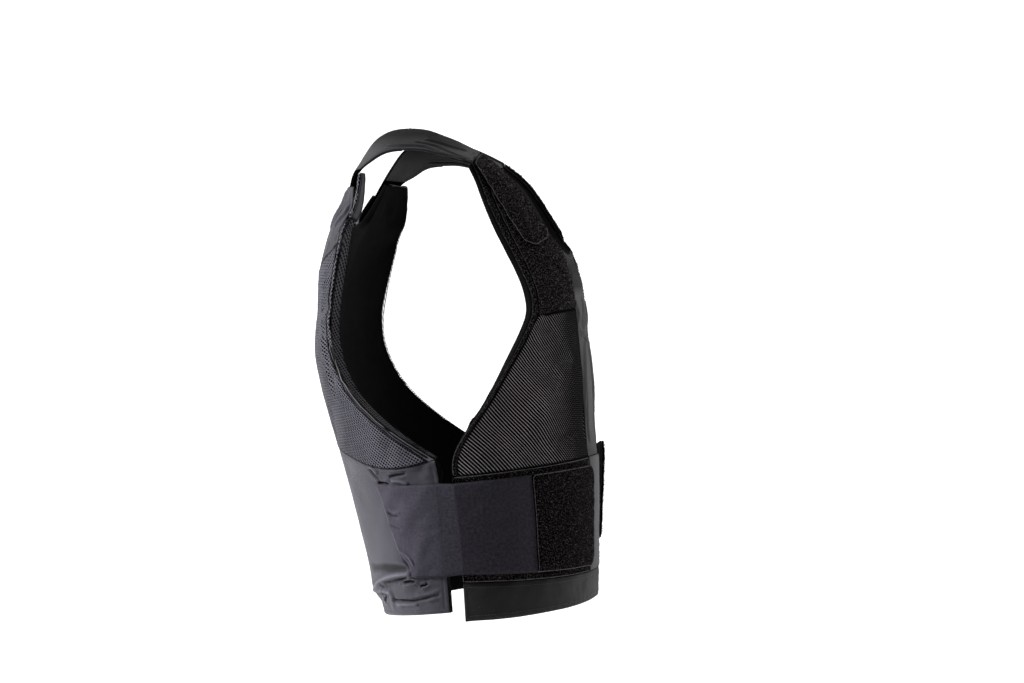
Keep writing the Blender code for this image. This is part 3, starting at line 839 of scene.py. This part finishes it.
def flatten(mesh, along):
    """Lays the sheet flat in a UV map in metres, turned so that V runs the given way."""
    piece = placed("flattened", mesh)
    for other in bpy.context.selected_objects:
        other.select_set(False)
    bpy.context.view_layer.objects.active = piece
    piece.select_set(True)
    bpy.ops.object.mode_set(mode="EDIT")
    bpy.ops.mesh.select_all(action="SELECT")
    bpy.ops.uv.unwrap(method="ANGLE_BASED", margin=0.0)
    bpy.ops.object.mode_set(mode="OBJECT")
    layer = mesh.uv_layers[0]
    layer.name = MAP_NAME
    flat = np.empty(len(mesh.loops) * 2, np.float32)
    layer.data.foreach_get("uv", flat)
    uv = flat.reshape(-1, 2).astype(float)
    owners = np.empty(len(mesh.loops), np.int32)
    mesh.loops.foreach_get("vertex_index", owners)
    flat_area = 0.0
    real_area = 0.0
    for polygon in mesh.polygons:
        corners = uv[list(polygon.loop_indices)]
        x, y = corners[:, 0], corners[:, 1]
        flat_area += 0.5 * abs(np.dot(x, np.roll(y, -1)) - np.dot(y, np.roll(x, -1)))
        real_area += polygon.area
    uv *= math.sqrt(real_area / flat_area)
    height = positions(mesh)[owners] @ np.array(along)
    terms = np.column_stack((uv, np.ones(len(uv))))
    slope = np.linalg.lstsq(terms, height, rcond=None)[0][:2]
    up = slope / np.linalg.norm(slope)
    uv = np.column_stack((uv @ np.array((up[1], -up[0])), uv @ up))
    uv -= (uv.min(axis=0) + uv.max(axis=0)) / 2
    layer.data.foreach_set("uv", uv.astype(np.float32).ravel())
    bpy.data.objects.remove(piece)
    return uv.max(axis=0) - uv.min(axis=0), real_area


def subdivided(mesh, levels):
    """A smooth copy of the mesh, with sharp corners only where its border turns one."""
    piece = placed("cage", mesh)
    smooth = piece.modifiers.new("smooth", "SUBSURF")
    smooth.levels = smooth.render_levels = levels
    smooth.boundary_smooth = "PRESERVE_CORNERS"
    depsgraph = bpy.context.evaluated_depsgraph_get()
    fine = bpy.data.meshes.new_from_object(piece.evaluated_get(depsgraph))
    bpy.data.objects.remove(piece)
    return fine


def smooth_through_points(mesh, levels):
    """Subdivides the mesh so that the smooth surface still passes through its points."""
    goal = positions(mesh)
    cage = goal.copy()
    for _ in range(FIT_ROUNDS):
        set_positions(mesh, cage)
        reached = subdivided(mesh, 1)
        cage += goal - positions(reached)[:len(goal)]
        bpy.data.meshes.remove(reached)
    set_positions(mesh, cage)
    return subdivided(mesh, levels)


def border_points(mesh):
    """Points along the free edges of a sheet."""
    used = np.zeros(len(mesh.edges), int)
    edges_of_loops = np.empty(len(mesh.loops), np.int32)
    mesh.loops.foreach_get("edge_index", edges_of_loops)
    np.add.at(used, edges_of_loops, 1)
    points = []
    for index in np.nonzero(used == 1)[0]:
        start, end = (mesh.vertices[v].co for v in mesh.edges[index].vertices)
        points += [start.lerp(end, k / BORDER_STEPS) for k in range(BORDER_STEPS)]
    return points


def joined_copies(name, template, places, material):
    """One piece that holds a copy of the small template mesh at each of the 4 by 4 places."""
    points = positions(template)
    corners = np.empty(len(template.loops), np.int32)
    template.loops.foreach_get("vertex_index", corners)
    starts = np.empty(len(template.polygons), np.int32)
    template.polygons.foreach_get("loop_start", starts)
    steps = np.arange(len(places))[:, None]
    moved = np.einsum("nij,kj->nki", places[:, :3, :3], points) + places[:, None, :3, 3]
    mesh = bpy.data.meshes.new(name)
    mesh.vertices.add(len(places) * len(points))
    mesh.loops.add(len(places) * len(corners))
    mesh.polygons.add(len(places) * len(starts))
    mesh.vertices.foreach_set("co", moved.astype(np.float32).ravel())
    mesh.loops.foreach_set("vertex_index", (corners + steps * len(points)).astype(np.int32).ravel())
    mesh.polygons.foreach_set("loop_start", (starts + steps * len(corners)).astype(np.int32).ravel())
    mesh.update(calc_edges=True)
    return placed(name, dressed(mesh, material))


def search_tree(points):
    tree = kdtree.KDTree(len(points))
    for index, point in enumerate(points):
        tree.insert(point, index)
    tree.balance()
    return tree


def distances_from(points, places):
    tree = search_tree(points)
    return np.array([tree.find(Vector(place))[2] for place in places])


def store(mesh, name, values):
    attribute = mesh.attributes.new(name, "FLOAT", "POINT")
    attribute.data.foreach_set("value", values.astype(np.float32))


# Folds of the worn vest, on its right half in millimetres and mirrored on the left:
# the line of each fold, its width and its height, below zero for a dent

BODY_FOLDS = (
    # lower back, above its hem
    (((-94, 43, -482), (-117, 34, -475), (-139, 21, -468), (-150, 10, -464), (-167, -7, -461)), 4.5, 4.6),
    (((-122, 31, -474), (-137, 22, -471), (-148, 11, -468), (-165, -5, -464)), 2.2, -3.6),
    (((-155, 3, -471), (-162, -5, -469), (-165, -12, -469)), 2.4, -4.5),
    (((-167, -17, -473), (-169, -22, -472), (-170, -25, -470)), 2.1, -3.2),
    (((-91, 43, -484), (-122, 30, -482), (-136, 20, -483), (-139, 17, -487), (-134, 18, -493)), 3.6, 3.4),
    (((-125, 25, -485), (-118, 28, -490), (-113, 29, -496)), 2.2, -3.2),
    (((-140, 14, -490), (-151, 2, -490), (-161, -9, -489), (-168, -24, -485), (-172, -38, -481)), 2.8, -2.9),
    (((-141, 12, -495), (-153, -1, -493), (-163, -14, -492)), 3.0, 2.2),
    (((-99, 45, -460), (-136, 25, -457), (-150, 11, -457), (-165, -3, -457)), 7.5, -3.2),
    # above the rear end of the side strap
    (((-146, 42, -355), (-150, 34, -363), (-152, 28, -367)), 2.4, -2.4),
    (((-161, 18, -362), (-165, 10, -360), (-169, -1, -358)), 2.4, -3.0),
    (((-161, 15, -366), (-165, 5, -366), (-168, -4, -368)), 2.4, 2.6),
    (((-151, 40, -351), (-152, 36, -355), (-153, 31, -359)), 4.0, 1.8),
    (((-149, 32, -369), (-154, 25, -369), (-161, 18, -370)), 2.4, -4.0),
    # mesh of the back, beside the armhole
    (((-111, 98, -199), (-123, 93, -227), (-126, 85, -267), (-129, 80, -280)), 5.0, 3.0),
    (((-106, 99, -188), (-127, 83, -185)), 9.0, -2.5),
    (((-81, 107, -160), (-125, 87, -159)), 9.0, 1.5),
    (((-128, 88, -208), (-138, 80, -246), (-145, 70, -272)), 5.0, -2.2),
    # flap behind the shoulder, with its pocket
    (((-99, 74, -62), (-97, 81, -79), (-96, 90, -104)), 4.0, 2.2),
    (((-109, 71, -63), (-107, 77, -80), (-105, 86, -100)), 3.5, -2.8),
    (((-124, 66, -77), (-122, 72, -89), (-115, 82, -102)), 3.0, 2.6),
    (((-134, 62, -85), (-133, 68, -95), (-131, 76, -108)), 3.0, -2.9),
    # centre panel of the front
    (((-14, -167, -218), (-34, -170, -263), (-42, -172, -300), (-43, -173, -332)), 6.0, 2.4),
    (((-26, -172, -270), (-28, -174, -330)), 5.0, -1.8),
    (((-42, -165, -211), (-20, -166, -216), (0, -167, -220)), 4.5, -2.8),
    (((0, -162, -173), (-4, -164, -192), (-24, -165, -209)), 8.0, -3.0),
    (((-45, -160, -178), (-36, -162, -190), (-42, -165, -205)), 5.0, 2.0),
)
SIDE_STRAP_FOLDS = BODY_FOLDS + (
    (((-156, 19, -399), (-159, 14, -402), (-164, 6, -402)), 1.8, -1.8),
    (((-157, 18, -395), (-161, 12, -398), (-165, 5, -398)), 1.8, 1.4),
    (((-161, 6, -438), (-164, -1, -441), (-167, -6, -445), (-169, -11, -452)), 1.9, 1.9),
    (((-161, 6, -443), (-164, -1, -449), (-166, -7, -456)), 2.0, -1.7),
    (((-157, 16, -412), (-164, 3, -416)), 3.0, -1.0),
)
SHOULDER_STRAP_FOLDS = (
    (((-119, 26, -18), (-123, 13, -17), (-123, -15, -19), (-128, -37, -27), (-132, -61, -36)), 2.6, 2.2),
    (((-116, -2, -14), (-118, -27, -19), (-127, -54, -30)), 2.2, -2.0),
    (((-107, -11, -10), (-106, -33, -16), (-106, -56, -23)), 3.2, 2.0),
    (((-130, 6, -23), (-130, -20, -25)), 2.4, -1.5),
    (((-88, -66, -23), (-100, -67, -27), (-118, -66, -30), (-130, -65, -39)), 2.2, 1.6),
)


def along_line(points, line):
    """Each point's distance from a line, and where along the line its nearest place is."""
    line = np.array(line) / 1000
    ways = np.diff(line, axis=0)
    lengths = np.linalg.norm(ways, axis=1)
    nearest = np.full(len(points), np.inf)
    share = np.zeros(len(points))
    walked = 0.0
    for start, way, length in zip(line, ways, lengths):
        step = np.clip((points - start) @ way / length ** 2, 0, 1)
        off = np.linalg.norm(points - start - step[:, None] * way, axis=1)
        closer = off < nearest
        nearest[closer] = off[closer]
        share[closer] = (walked + step[closer] * length) / lengths.sum()
        walked += length
    return 1000 * nearest, share


def on_right(points):
    """The points with those of the left half mirrored to the right one."""
    return points * np.where(points[:, :1] > 0, (-1, 1, 1), (1, 1, 1))


def fold(points, line, width, height):
    """A rounded fold along a line, fading out at both ends, with a trough beside it."""
    nearest, share = along_line(points, line)
    fade = np.sqrt(np.clip(1 - (2 * share - 1) ** 4, 0, 1))
    spread = (nearest / width) ** 2
    return height / 1000 * fade * (1 - 2 * FOLD_TROUGH * spread) * np.exp(-spread)


def folds(points, table):
    """The heights of all folds of a table at each point, on either side of the vest."""
    right = on_right(points)
    return sum(fold(right, *entry) for entry in table)


def padding_room(points):
    """How far the padding keeps back from the folds of the cloth over it."""
    right = on_right(points)
    total = np.zeros(len(points))
    for line, width, height in BODY_FOLDS:
        spread = along_line(right, line)[0] / (PADDING_SPREAD * width)
        total += abs(height) / 1000 * np.exp(-spread ** 2)
    return total


def divided_at_folds(mesh, table):
    """Divides the faces along narrow folds further, so that these come out crisp."""
    bm = bmesh.new()
    bm.from_mesh(mesh)
    right = on_right(np.array([vert.co for vert in bm.verts]))
    near = np.zeros(len(right), bool)
    for line, width, _ in table:
        if width < NARROW_FOLD:
            near |= along_line(right, line)[0] < FOLD_SPREAD * width
    edges = [edge for edge in bm.edges if all(near[vert.index] for vert in edge.verts)]
    bmesh.ops.subdivide_edges(bm, edges=edges, cuts=FOLD_CUTS, use_grid_fill=True)
    bm.to_mesh(mesh)
    bm.free()


def settle_cover(node):
    """Simulates a panel's cover as cloth with a little slack over the padding it holds."""
    bm = merged_copy(node)
    keep_outer_side(bm, BODY_CENTRE)
    mesh = smooth_through_points(meshed("cover", bm), PANEL_LEVELS)
    points = positions(mesh)
    normals = vertex_normals(mesh)
    piece = placed("cover", mesh)
    near = distances_from(border_points(mesh), points)
    held = piece.vertex_groups.new(name="held")
    for index, weight in enumerate(np.clip(1 - (near - COVER_RIM) / COVER_EASE, COVER_LEAST_HELD, 1)):
        held.add([index], float(weight), "REPLACE")
    cloth = piece.modifiers.new("cloth", "CLOTH")
    cloth.settings.bending_stiffness = COVER_STIFFNESS
    cloth.settings.air_damping = COVER_DRAG
    cloth.settings.use_pressure = True
    cloth.settings.uniform_pressure_force = COVER_PRESSURE
    cloth.settings.shrink_min = COVER_SLACK
    cloth.settings.vertex_group_mass = held.name
    cloth.settings.effector_weights.gravity = 0.0
    cloth.collision_settings.use_collision = False
    cloth.point_cache.frame_end = COVER_FRAMES
    for frame_number in range(1, COVER_FRAMES + 1):
        bpy.context.scene.frame_set(frame_number)
    depsgraph = bpy.context.evaluated_depsgraph_get()
    settled = bpy.data.meshes.new_from_object(piece.evaluated_get(depsgraph))
    heights = np.clip(((positions(settled) - points) * normals).sum(axis=1), *COVER_REACH)
    bpy.data.objects.remove(piece)
    bpy.data.meshes.remove(settled)
    bpy.context.scene.frame_set(1)
    COVERS.append((search_tree(points), heights))


def cover_height(place):
    """How far the simulated cover under a place has moved outward."""
    found = [(tree.find_n(place, COVER_NEIGHBOURS), heights) for tree, heights in COVERS]
    nearest, heights = min(found, key=lambda entry: entry[0][0][2])
    shares = [1 / (COVER_SOFTENING + distance) for _, _, distance in nearest]
    moved = sum(share * heights[index] for share, (_, index, _) in zip(shares, nearest)) / sum(shares)
    return moved * math.exp(-(nearest[0][2] / COVER_FADE) ** 2)


def body_waves(points):
    """How far the whole vest gives way outward at each point, from the slack of its covers."""
    total = np.zeros(len(points))
    for index, point in enumerate(points):
        place = Vector(point)
        for height, rate, shift in SLACK:
            total[index] += height * noise.noise(place * rate + shift)
        if COVERS:
            total[index] += cover_height(place)
    return total


# Sheets

class Sheet:
    """One sewn or fastened sheet of cloth, grown from the outer side of its plain solid."""

    def __init__(self, node, along=(0, 0, 1), centre=BODY_CENTRE, table=BODY_FOLDS, wall=None):
        """wall holds the side and the two heights of an armhole's wall, in place of the outer side."""
        self.node = node
        bm = merged_copy(node)
        if wall:
            keep_armhole_wall(bm, *wall)
        else:
            keep_outer_side(bm, centre)
        cage = meshed(node, bm)
        self.flat_size, self.flat_area = flatten(cage, along)
        self.mesh = smooth_through_points(cage, SHEET_LEVELS)
        if not wall:
            divided_at_folds(self.mesh, table)
        self.points = positions(self.mesh)
        self.normals = vertex_normals(self.mesh)
        self.border = distances_from(border_points(self.mesh), self.points)
        store(self.mesh, "border", self.border)
        self.folded = np.zeros(len(self.points))
        if not wall:
            self.folded = folds(self.points, table)
            self.shift(self.folded + body_waves(self.points))

    def shift(self, heights):
        """Moves the sheet along its normals, by one height or by one for each point."""
        self.points += self.normals * np.reshape(heights, (-1, 1))

    def lumps(self, height, size):
        """Small uneven bumps all over the sheet."""
        rough = [noise.noise(Vector(point) / size) for point in self.points]
        self.shift(height * np.array(rough))

    def edge_profile(self, drop, width):
        """Rounds the sheet down toward its edges."""
        share = np.clip(self.border / width, 0, 1)
        self.shift(-drop * (1 - np.sqrt(1 - (1 - share) ** 2)))

    def groove(self, distance, width, depth):
        """The line that a row of stitches pulls in, at a distance from the edge."""
        self.shift(-depth * np.exp(-((self.border - distance) / width) ** 2))

    def settle(self):
        """Puts the sheet's points into its mesh."""
        set_positions(self.mesh, self.points)
        self.mesh.shade_smooth()

    def piece(self, name, wall, material):
        self.settle()
        store(self.mesh, "folded", self.folded / FOLD_SHADE)
        made = placed(name, dressed(self.mesh, material))
        thick = made.modifiers.new("wall", "SOLIDIFY")
        thick.thickness = wall
        thick.offset = -1
        return made

    def declare(self, piece):
        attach(piece, "root")
        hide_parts(self.node)
        width, length = (max(LEAST_SIDE, float(side)) for side in self.flat_size)
        area = min(float(self.flat_area), width * length)
        if area < STRIP_SHARE * width * length:
            width = max(LEAST_SIDE, STRIP_EASE * area / length)

    def line_inside(self, distance):
        """Runs of points with normals on the sheet, at a distance from its edge."""
        bm = bmesh.new()
        bm.from_mesh(self.mesh)
        cloth = BVHTree.FromBMesh(bm)
        borders = search_tree([vert.co for vert in bm.verts if vert.is_boundary])
        left = {edge for edge in bm.edges if edge.is_boundary}
        runs = []
        for edge in bm.edges:
            if edge not in left:
                continue
            left.discard(edge)
            chain = [edge.verts[0], edge.verts[1]]
            while True:
                onward = [e for e in chain[-1].link_edges if e in left]
                if not onward:
                    break
                left.discard(onward[0])
                chain.append(onward[0].other_vert(chain[-1]))
            run = []
            for before, vert, after in zip(chain, chain[1:], chain[2:] + chain[1:2]):
                tangent = (after.co - before.co).normalized()
                inward = tangent.cross(vert.normal)
                middle = sum((f.calc_center_median() for f in vert.link_faces), Vector())
                if inward.dot(middle / len(vert.link_faces) - vert.co) < 0:
                    inward.negate()
                spot, normal, _, _ = cloth.find_nearest(vert.co + inward * distance)
                if borders.find(spot)[2] > SEAM_CLEARANCE * distance:
                    run.append((spot, normal))
                elif run:
                    runs.append(run)
                    run = []
            if run:
                runs.append(run)
        bm.free()
        return [run for run in runs if len(run) > 2]


# Stitches

def stitch_template():
    """One stitch: a short thread along X that dips in at both ends."""
    bm = bmesh.new()
    bmesh.ops.create_uvsphere(bm, u_segments=6, v_segments=4, radius=1.0)
    bmesh.ops.rotate(bm, verts=bm.verts, matrix=Matrix.Rotation(math.radians(90), 3, "Y"))
    bmesh.ops.scale(bm, verts=bm.verts, vec=(STITCH_LENGTH / 2, STITCH_RADIUS, STITCH_RADIUS))
    return meshed("stitch", bm)


def stitch_places(run):
    """Where each stitch of a row goes, walking along its points at the sewing pitch."""
    places = []
    walked = 0.0
    for (start, start_normal), (end, end_normal) in zip(run, run[1:]):
        step = (end - start).length
        while walked < step:
            share = walked / step
            way = (end - start).normalized()
            normal = start_normal.lerp(end_normal, share)
            side = normal.cross(way).normalized()
            up = way.cross(side)
            axes = Matrix((way, side, up)).transposed().to_4x4()
            spot = start.lerp(end, share) + up * STITCH_RISE * STITCH_RADIUS
            places.append(np.array(Matrix.Translation(spot) @ axes))
            walked += STITCH_PITCH
        walked -= step
    return places


def stitch(sheet, distance):
    """Adds the rows of stitches inside a sheet's edges to its group."""
    places = STITCHES.setdefault(sheet.node.split("_")[0] + "_stitches", [])
    for run in sheet.line_inside(distance):
        places.extend(stitch_places(run))


# Spacer mesh

def laid_out(mesh):
    """The triangles of a mesh on its flat map: their flat points, corners and mesh points."""
    mesh.calc_loop_triangles()
    layer = mesh.uv_layers[MAP_NAME].data
    flat = []
    corners = []
    owners = []
    for triangle in mesh.loop_triangles:
        corners.append((len(flat), len(flat) + 1, len(flat) + 2))
        flat += [Vector((*layer[loop].uv, 0.0)) for loop in triangle.loops]
        owners.append(triangle.vertices[:])
    return flat, corners, owners


def net_cells(cloth, extent):
    """Flat cells that stand on a corner, each with its hole, wherever there is cloth under them.
    Returned with the points round the holes."""
    columns, rows = (2 * math.ceil(side / HOLE_PITCH) + 2 for side in extent)
    bm = bmesh.new()
    bmesh.ops.create_grid(bm, x_segments=columns, y_segments=rows, size=0.5)
    for vert in bm.verts:
        vert.co.x *= columns * HOLE_PITCH
        vert.co.y *= rows * HOLE_PITCH
    bmesh.ops.poke(bm, faces=bm.faces)
    straight = [e for e in bm.edges if len(e.link_faces) == 2
                and (abs(e.verts[0].co.x - e.verts[1].co.x) < MERGE_DISTANCE
                     or abs(e.verts[0].co.y - e.verts[1].co.y) < MERGE_DISTANCE)]
    bmesh.ops.dissolve_edges(bm, edges=straight)
    outside = []
    for face in bm.faces:
        middle = face.calc_center_median()
        if (cloth.find_nearest(middle)[0] - middle).length > CELL_REACH:
            outside.append(face)
    bmesh.ops.delete(bm, geom=outside, context="FACES")
    crossings = set(bm.verts)
    bmesh.ops.inset_individual(bm, faces=bm.faces, thickness=FULL_RIM * (1 - HOLE_SHARE),
                               use_even_offset=True)
    rims = {vert for face in bm.faces for vert in face.verts} - crossings
    holes = [face for face in bm.faces if all(vert in rims for vert in face.verts)]
    bmesh.ops.delete(bm, geom=holes, context="FACES_ONLY")
    return bm, rims


def add_net(sheet, name, material):
    """A net of knitted threads over the sheet: flat cells, each point laid where its map puts it."""
    sheet.settle()
    flat, corners, owners = laid_out(sheet.mesh)
    cloth = BVHTree.FromPolygons(flat, corners)
    normals = vertex_normals(sheet.mesh)
    bm, rims = net_cells(cloth, [max(abs(spot[axis]) for spot in flat) for axis in (0, 1)])
    map_layer = bm.loops.layers.uv.new(MAP_NAME)
    border = []
    for vert in bm.verts:
        spot, _, index, _ = cloth.find_nearest(vert.co)
        for loop in vert.link_loops:
            loop[map_layer].uv = spot.xy
        a, b, c = (flat[k] for k in corners[index])
        whole = (b - a).cross(c - a).z
        first = (b - spot).cross(c - spot).z / whole
        second = (c - spot).cross(a - spot).z / whole
        shares = np.array((first, second, 1 - first - second))
        trio = list(owners[index])
        border.append(shares @ sheet.border[trio])
        normal = Vector(shares @ normals[trio]).normalized()
        rise = THREAD_SINK if vert in rims else THREAD_RISE
        vert.co = Vector(shares @ sheet.points[trio]) + normal * rise
    bmesh.ops.recalc_face_normals(bm, faces=bm.faces)
    net = finished(name, bm, material)
    store(net.data, "border", np.array(border))
    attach(net, "root")
    return net


# Panels

def build_panel(node):
    """A padded panel in its black lining, all round."""
    bm = merged_copy(node)
    crease = bm.edges.layers.float.new("crease_edge")
    for edge in bm.edges:
        if edge.calc_face_angle(0.0) > SIDE_ANGLE:
            edge[crease] = RIM_CREASE
    cage = meshed(node, bm)
    flatten(cage, (0, 0, 1))
    mesh = smooth_through_points(cage, PANEL_LEVELS)
    points = positions(mesh)
    give = body_waves(points) - padding_room(points)
    points += vertex_normals(mesh) * (give + PADDING_LIFT)[:, None]
    set_positions(mesh, points)
    piece = placed(node + "_padding", dressed(mesh, FINISH["lining"]))
    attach(piece, "root")
    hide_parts(node)


def build_plain_cloth():
    for node, finish in (("front_hem", "front_cloth"), ("front_centre_panel", "front_cloth"),
                         ("back_lower_panel", "back_cloth"), ("back_yoke_flap", "flap_cloth")):
        sheet = Sheet(node)
        sheet.edge_profile(*CLOTH_EDGE)
        sheet.groove(*CLOTH_SEAM)
        piece = sheet.piece(node + "_cloth", CLOTH_WALL, FINISH[finish])
        sheet.declare(piece)
        stitch(sheet, CLOTH_SEAM[0])


def build_bindings():
    for end, finish in (("front", "front_binding"), ("back", "back_piping")):
        for side in ("right", "left"):
            node = f"{end}_armhole_binding_{side}"
            sheet = Sheet(node)
            sheet.lumps(*BINDING_LUMPS)
            sheet.edge_profile(*BINDING_EDGE)
            piece = sheet.piece(node + "_cloth", CLOTH_WALL, FINISH[finish])
            sheet.declare(piece)


def build_mesh_cloth():
    for node, threads in (("front_mesh_right", "front_threads"), ("front_mesh_left", "front_threads"),
                          ("back_mesh", "back_threads")):
        sheet = Sheet(node)
        sheet.shift(MESH_GROUND_LIFT)
        net = add_net(sheet, node + "_threads", FINISH[threads])
        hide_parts(node)
        piece = sheet.piece(node + "_ground", MESH_GROUND_WALL, FINISH["mesh_ground"])
        sheet.declare(piece)


def build_armhole_walls():
    """The walls of the rear armholes: cloth at the shoulder, spacer mesh below it."""
    for name, side in (("right", -1), ("left", 1)):
        sheet = Sheet("back_panel", wall=(side, GUSSET_LOW, GUSSET_TOP))
        sheet.shift(GUSSET_LIFT)
        add_net(sheet, f"back_gusset_{name}_threads", FINISH["gusset_threads"])
        sheet = Sheet("back_panel", wall=(side, GUSSET_TOP, WALL_TOP))
        sheet.lumps(*WALL_LUMPS)
        sheet.shift(WALL_CLOTH_LIFT)
        piece = sheet.piece(f"back_wall_{name}_cloth", ARMHOLE_CLOTH_WALL, FINISH["wall_cloth"])
        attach(piece, "root")


def loop_template():
    """One loop of pile: a thin bent thread that stands up along Z."""
    bm = bmesh.new()
    bmesh.ops.create_circle(bm, segments=3, radius=LOOP_THREAD,
                            matrix=Matrix.Translation((LOOP_HALF_WIDTH, 0, 0)))
    bmesh.ops.spin(bm, geom=bm.verts[:] + bm.edges[:], cent=(0, 0, 0), axis=(0, -1, 0),
                   angle=math.radians(180), steps=2)
    bmesh.ops.scale(bm, vec=(1, 1, LOOP_HEIGHT / LOOP_HALF_WIDTH), verts=bm.verts)
    bmesh.ops.recalc_face_normals(bm, faces=bm.faces)
    return meshed("pile_loop", bm)


def loop_places(sheet, draw):
    """Where the loops stand on the bare middle of a sheet, turned and sized at random."""
    sheet.mesh.calc_loop_triangles()
    trios = np.array([triangle.vertices for triangle in sheet.mesh.loop_triangles])
    trios = trios[sheet.border[trios].min(axis=1) > PILE_MARGIN]
    corners = sheet.points[trios]
    facing = np.cross(corners[:, 1] - corners[:, 0], corners[:, 2] - corners[:, 0])
    areas = np.linalg.norm(facing, axis=1) / 2
    count = int(areas.sum() * LOOPS_PER_AREA)
    chosen = draw.choice(len(trios), count, p=areas / areas.sum())
    shares = draw.dirichlet((1, 1, 1), count)
    spots = np.einsum("nk,nkd->nd", shares, corners[chosen])
    normals = facing[chosen] / (2 * areas[chosen, None])
    leaning = normals + draw.normal(0, LOOP_LEAN, (count, 3))
    leaning /= np.linalg.norm(leaning, axis=1)[:, None]
    across = np.cross(leaning, draw.normal(0, 1, (count, 3)))
    across /= np.linalg.norm(across, axis=1)[:, None]
    sizes = draw.uniform(*LOOP_SIZES, count)
    places = np.zeros((count, 4, 4))
    places[:, :3, 0] = across * sizes[:, None]
    places[:, :3, 1] = np.cross(leaning, across) * sizes[:, None]
    places[:, :3, 2] = leaning * sizes[:, None]
    places[:, :3, 3] = spots
    return places


def scatter_loops(sheet, seed):
    """Covers the bare middle of a pile sheet with small loops, shaded in clumps."""
    draw = np.random.default_rng(seed)
    places = loop_places(sheet, draw)
    template = loop_template()
    loops = joined_copies(sheet.node + "_loops", template, places, FINISH["pile_loops"])
    clumps = np.array([noise.noise(Vector(spot) / CLUMP_SIZE) for spot in places[:, :3, 3]])
    shades = np.clip(LOOP_SHADE + CLUMP_CONTRAST * clumps, 0, MOST_SHADE)
    shades *= draw.uniform(*LOOP_SHARES, len(places))
    store(loops.data, "shade", np.repeat(shades, len(template.vertices)))
    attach(loops, "root")
    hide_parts(sheet.node)


def build_pile():
    for seed, (node, wall, rests_on) in enumerate((
            ("front_waist_loop_right", PILE_WALL, "front_panel_padding"),
            ("front_waist_loop_left", PILE_WALL, "front_panel_padding"),
            ("front_yoke_loop_right", PILE_WALL, "front_panel_padding"),
            ("front_yoke_loop_left", PILE_WALL, "front_panel_padding"),
            ("shoulder_tab_right", STRAP_WALL, "front_yoke_loop_right_pile"),
            ("shoulder_tab_left", STRAP_WALL, "front_yoke_loop_left_pile"),
            ("side_strap_pile_right", PILE_WALL, "side_strap_right_elastic"),
            ("side_strap_pile_left", PILE_WALL, "side_strap_left_elastic"))):
        sheet = Sheet(node)
        sheet.lumps(*PILE_LUMPS)
        sheet.groove(*PILE_SEAM)
        sheet.edge_profile(*PILE_EDGE)
        piece = sheet.piece(node + "_pile", wall, FINISH["yoke_pile" if "yoke" in node else "pile"])
        sheet.declare(piece)
        scatter_loops(sheet, seed)


def build_shoulder_straps():
    for side in ("right", "left"):
        node = "shoulder_strap_" + side
        middle = sum(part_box(node), Vector()) / 2
        sheet = Sheet(node, along=(0, -1, 0), centre=middle - STRAP_CENTRE_DROP, table=SHOULDER_STRAP_FOLDS)
        sheet.edge_profile(*STRAP_EDGE)
        sheet.groove(*STRAP_SEAM)
        piece = sheet.piece(node + "_cloth", STRAP_WALL, FINISH["strap_cloth"])
        sheet.declare(piece)
        stitch(sheet, STRAP_SEAM[0])


def build_elastic():
    for node, table, wall, rests_on in (
            ("side_strap_right", SIDE_STRAP_FOLDS, ELASTIC_WALL, "front_waist_loop_right_pile"),
            ("side_strap_left", SIDE_STRAP_FOLDS, ELASTIC_WALL, "front_waist_loop_left_pile"),
            ("front_waist_centre", BODY_FOLDS, CLOTH_WALL, "front_panel_padding")):
        sheet = Sheet(node, table=table)
        sheet.edge_profile(*ELASTIC_EDGE)
        piece = sheet.piece(node + "_elastic", wall, FINISH["elastic"])
        sheet.declare(piece)


def build_stitches():
    template = stitch_template()
    for group, places in STITCHES.items():
        piece = joined_copies(group, template, np.array(places), FINISH["thread"])
        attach(piece, "root")


def build():
    build_camera()
    build_world()
    build_studio()
    make_groups()
    make_finishes()
    settle_cover("front_panel")
    settle_cover("back_panel")
    build_panel("front_panel")
    build_panel("back_panel")
    build_plain_cloth()
    build_bindings()
    build_mesh_cloth()
    build_armhole_walls()
    build_pile()
    build_shoulder_straps()
    build_elastic()
    build_stitches()


build()
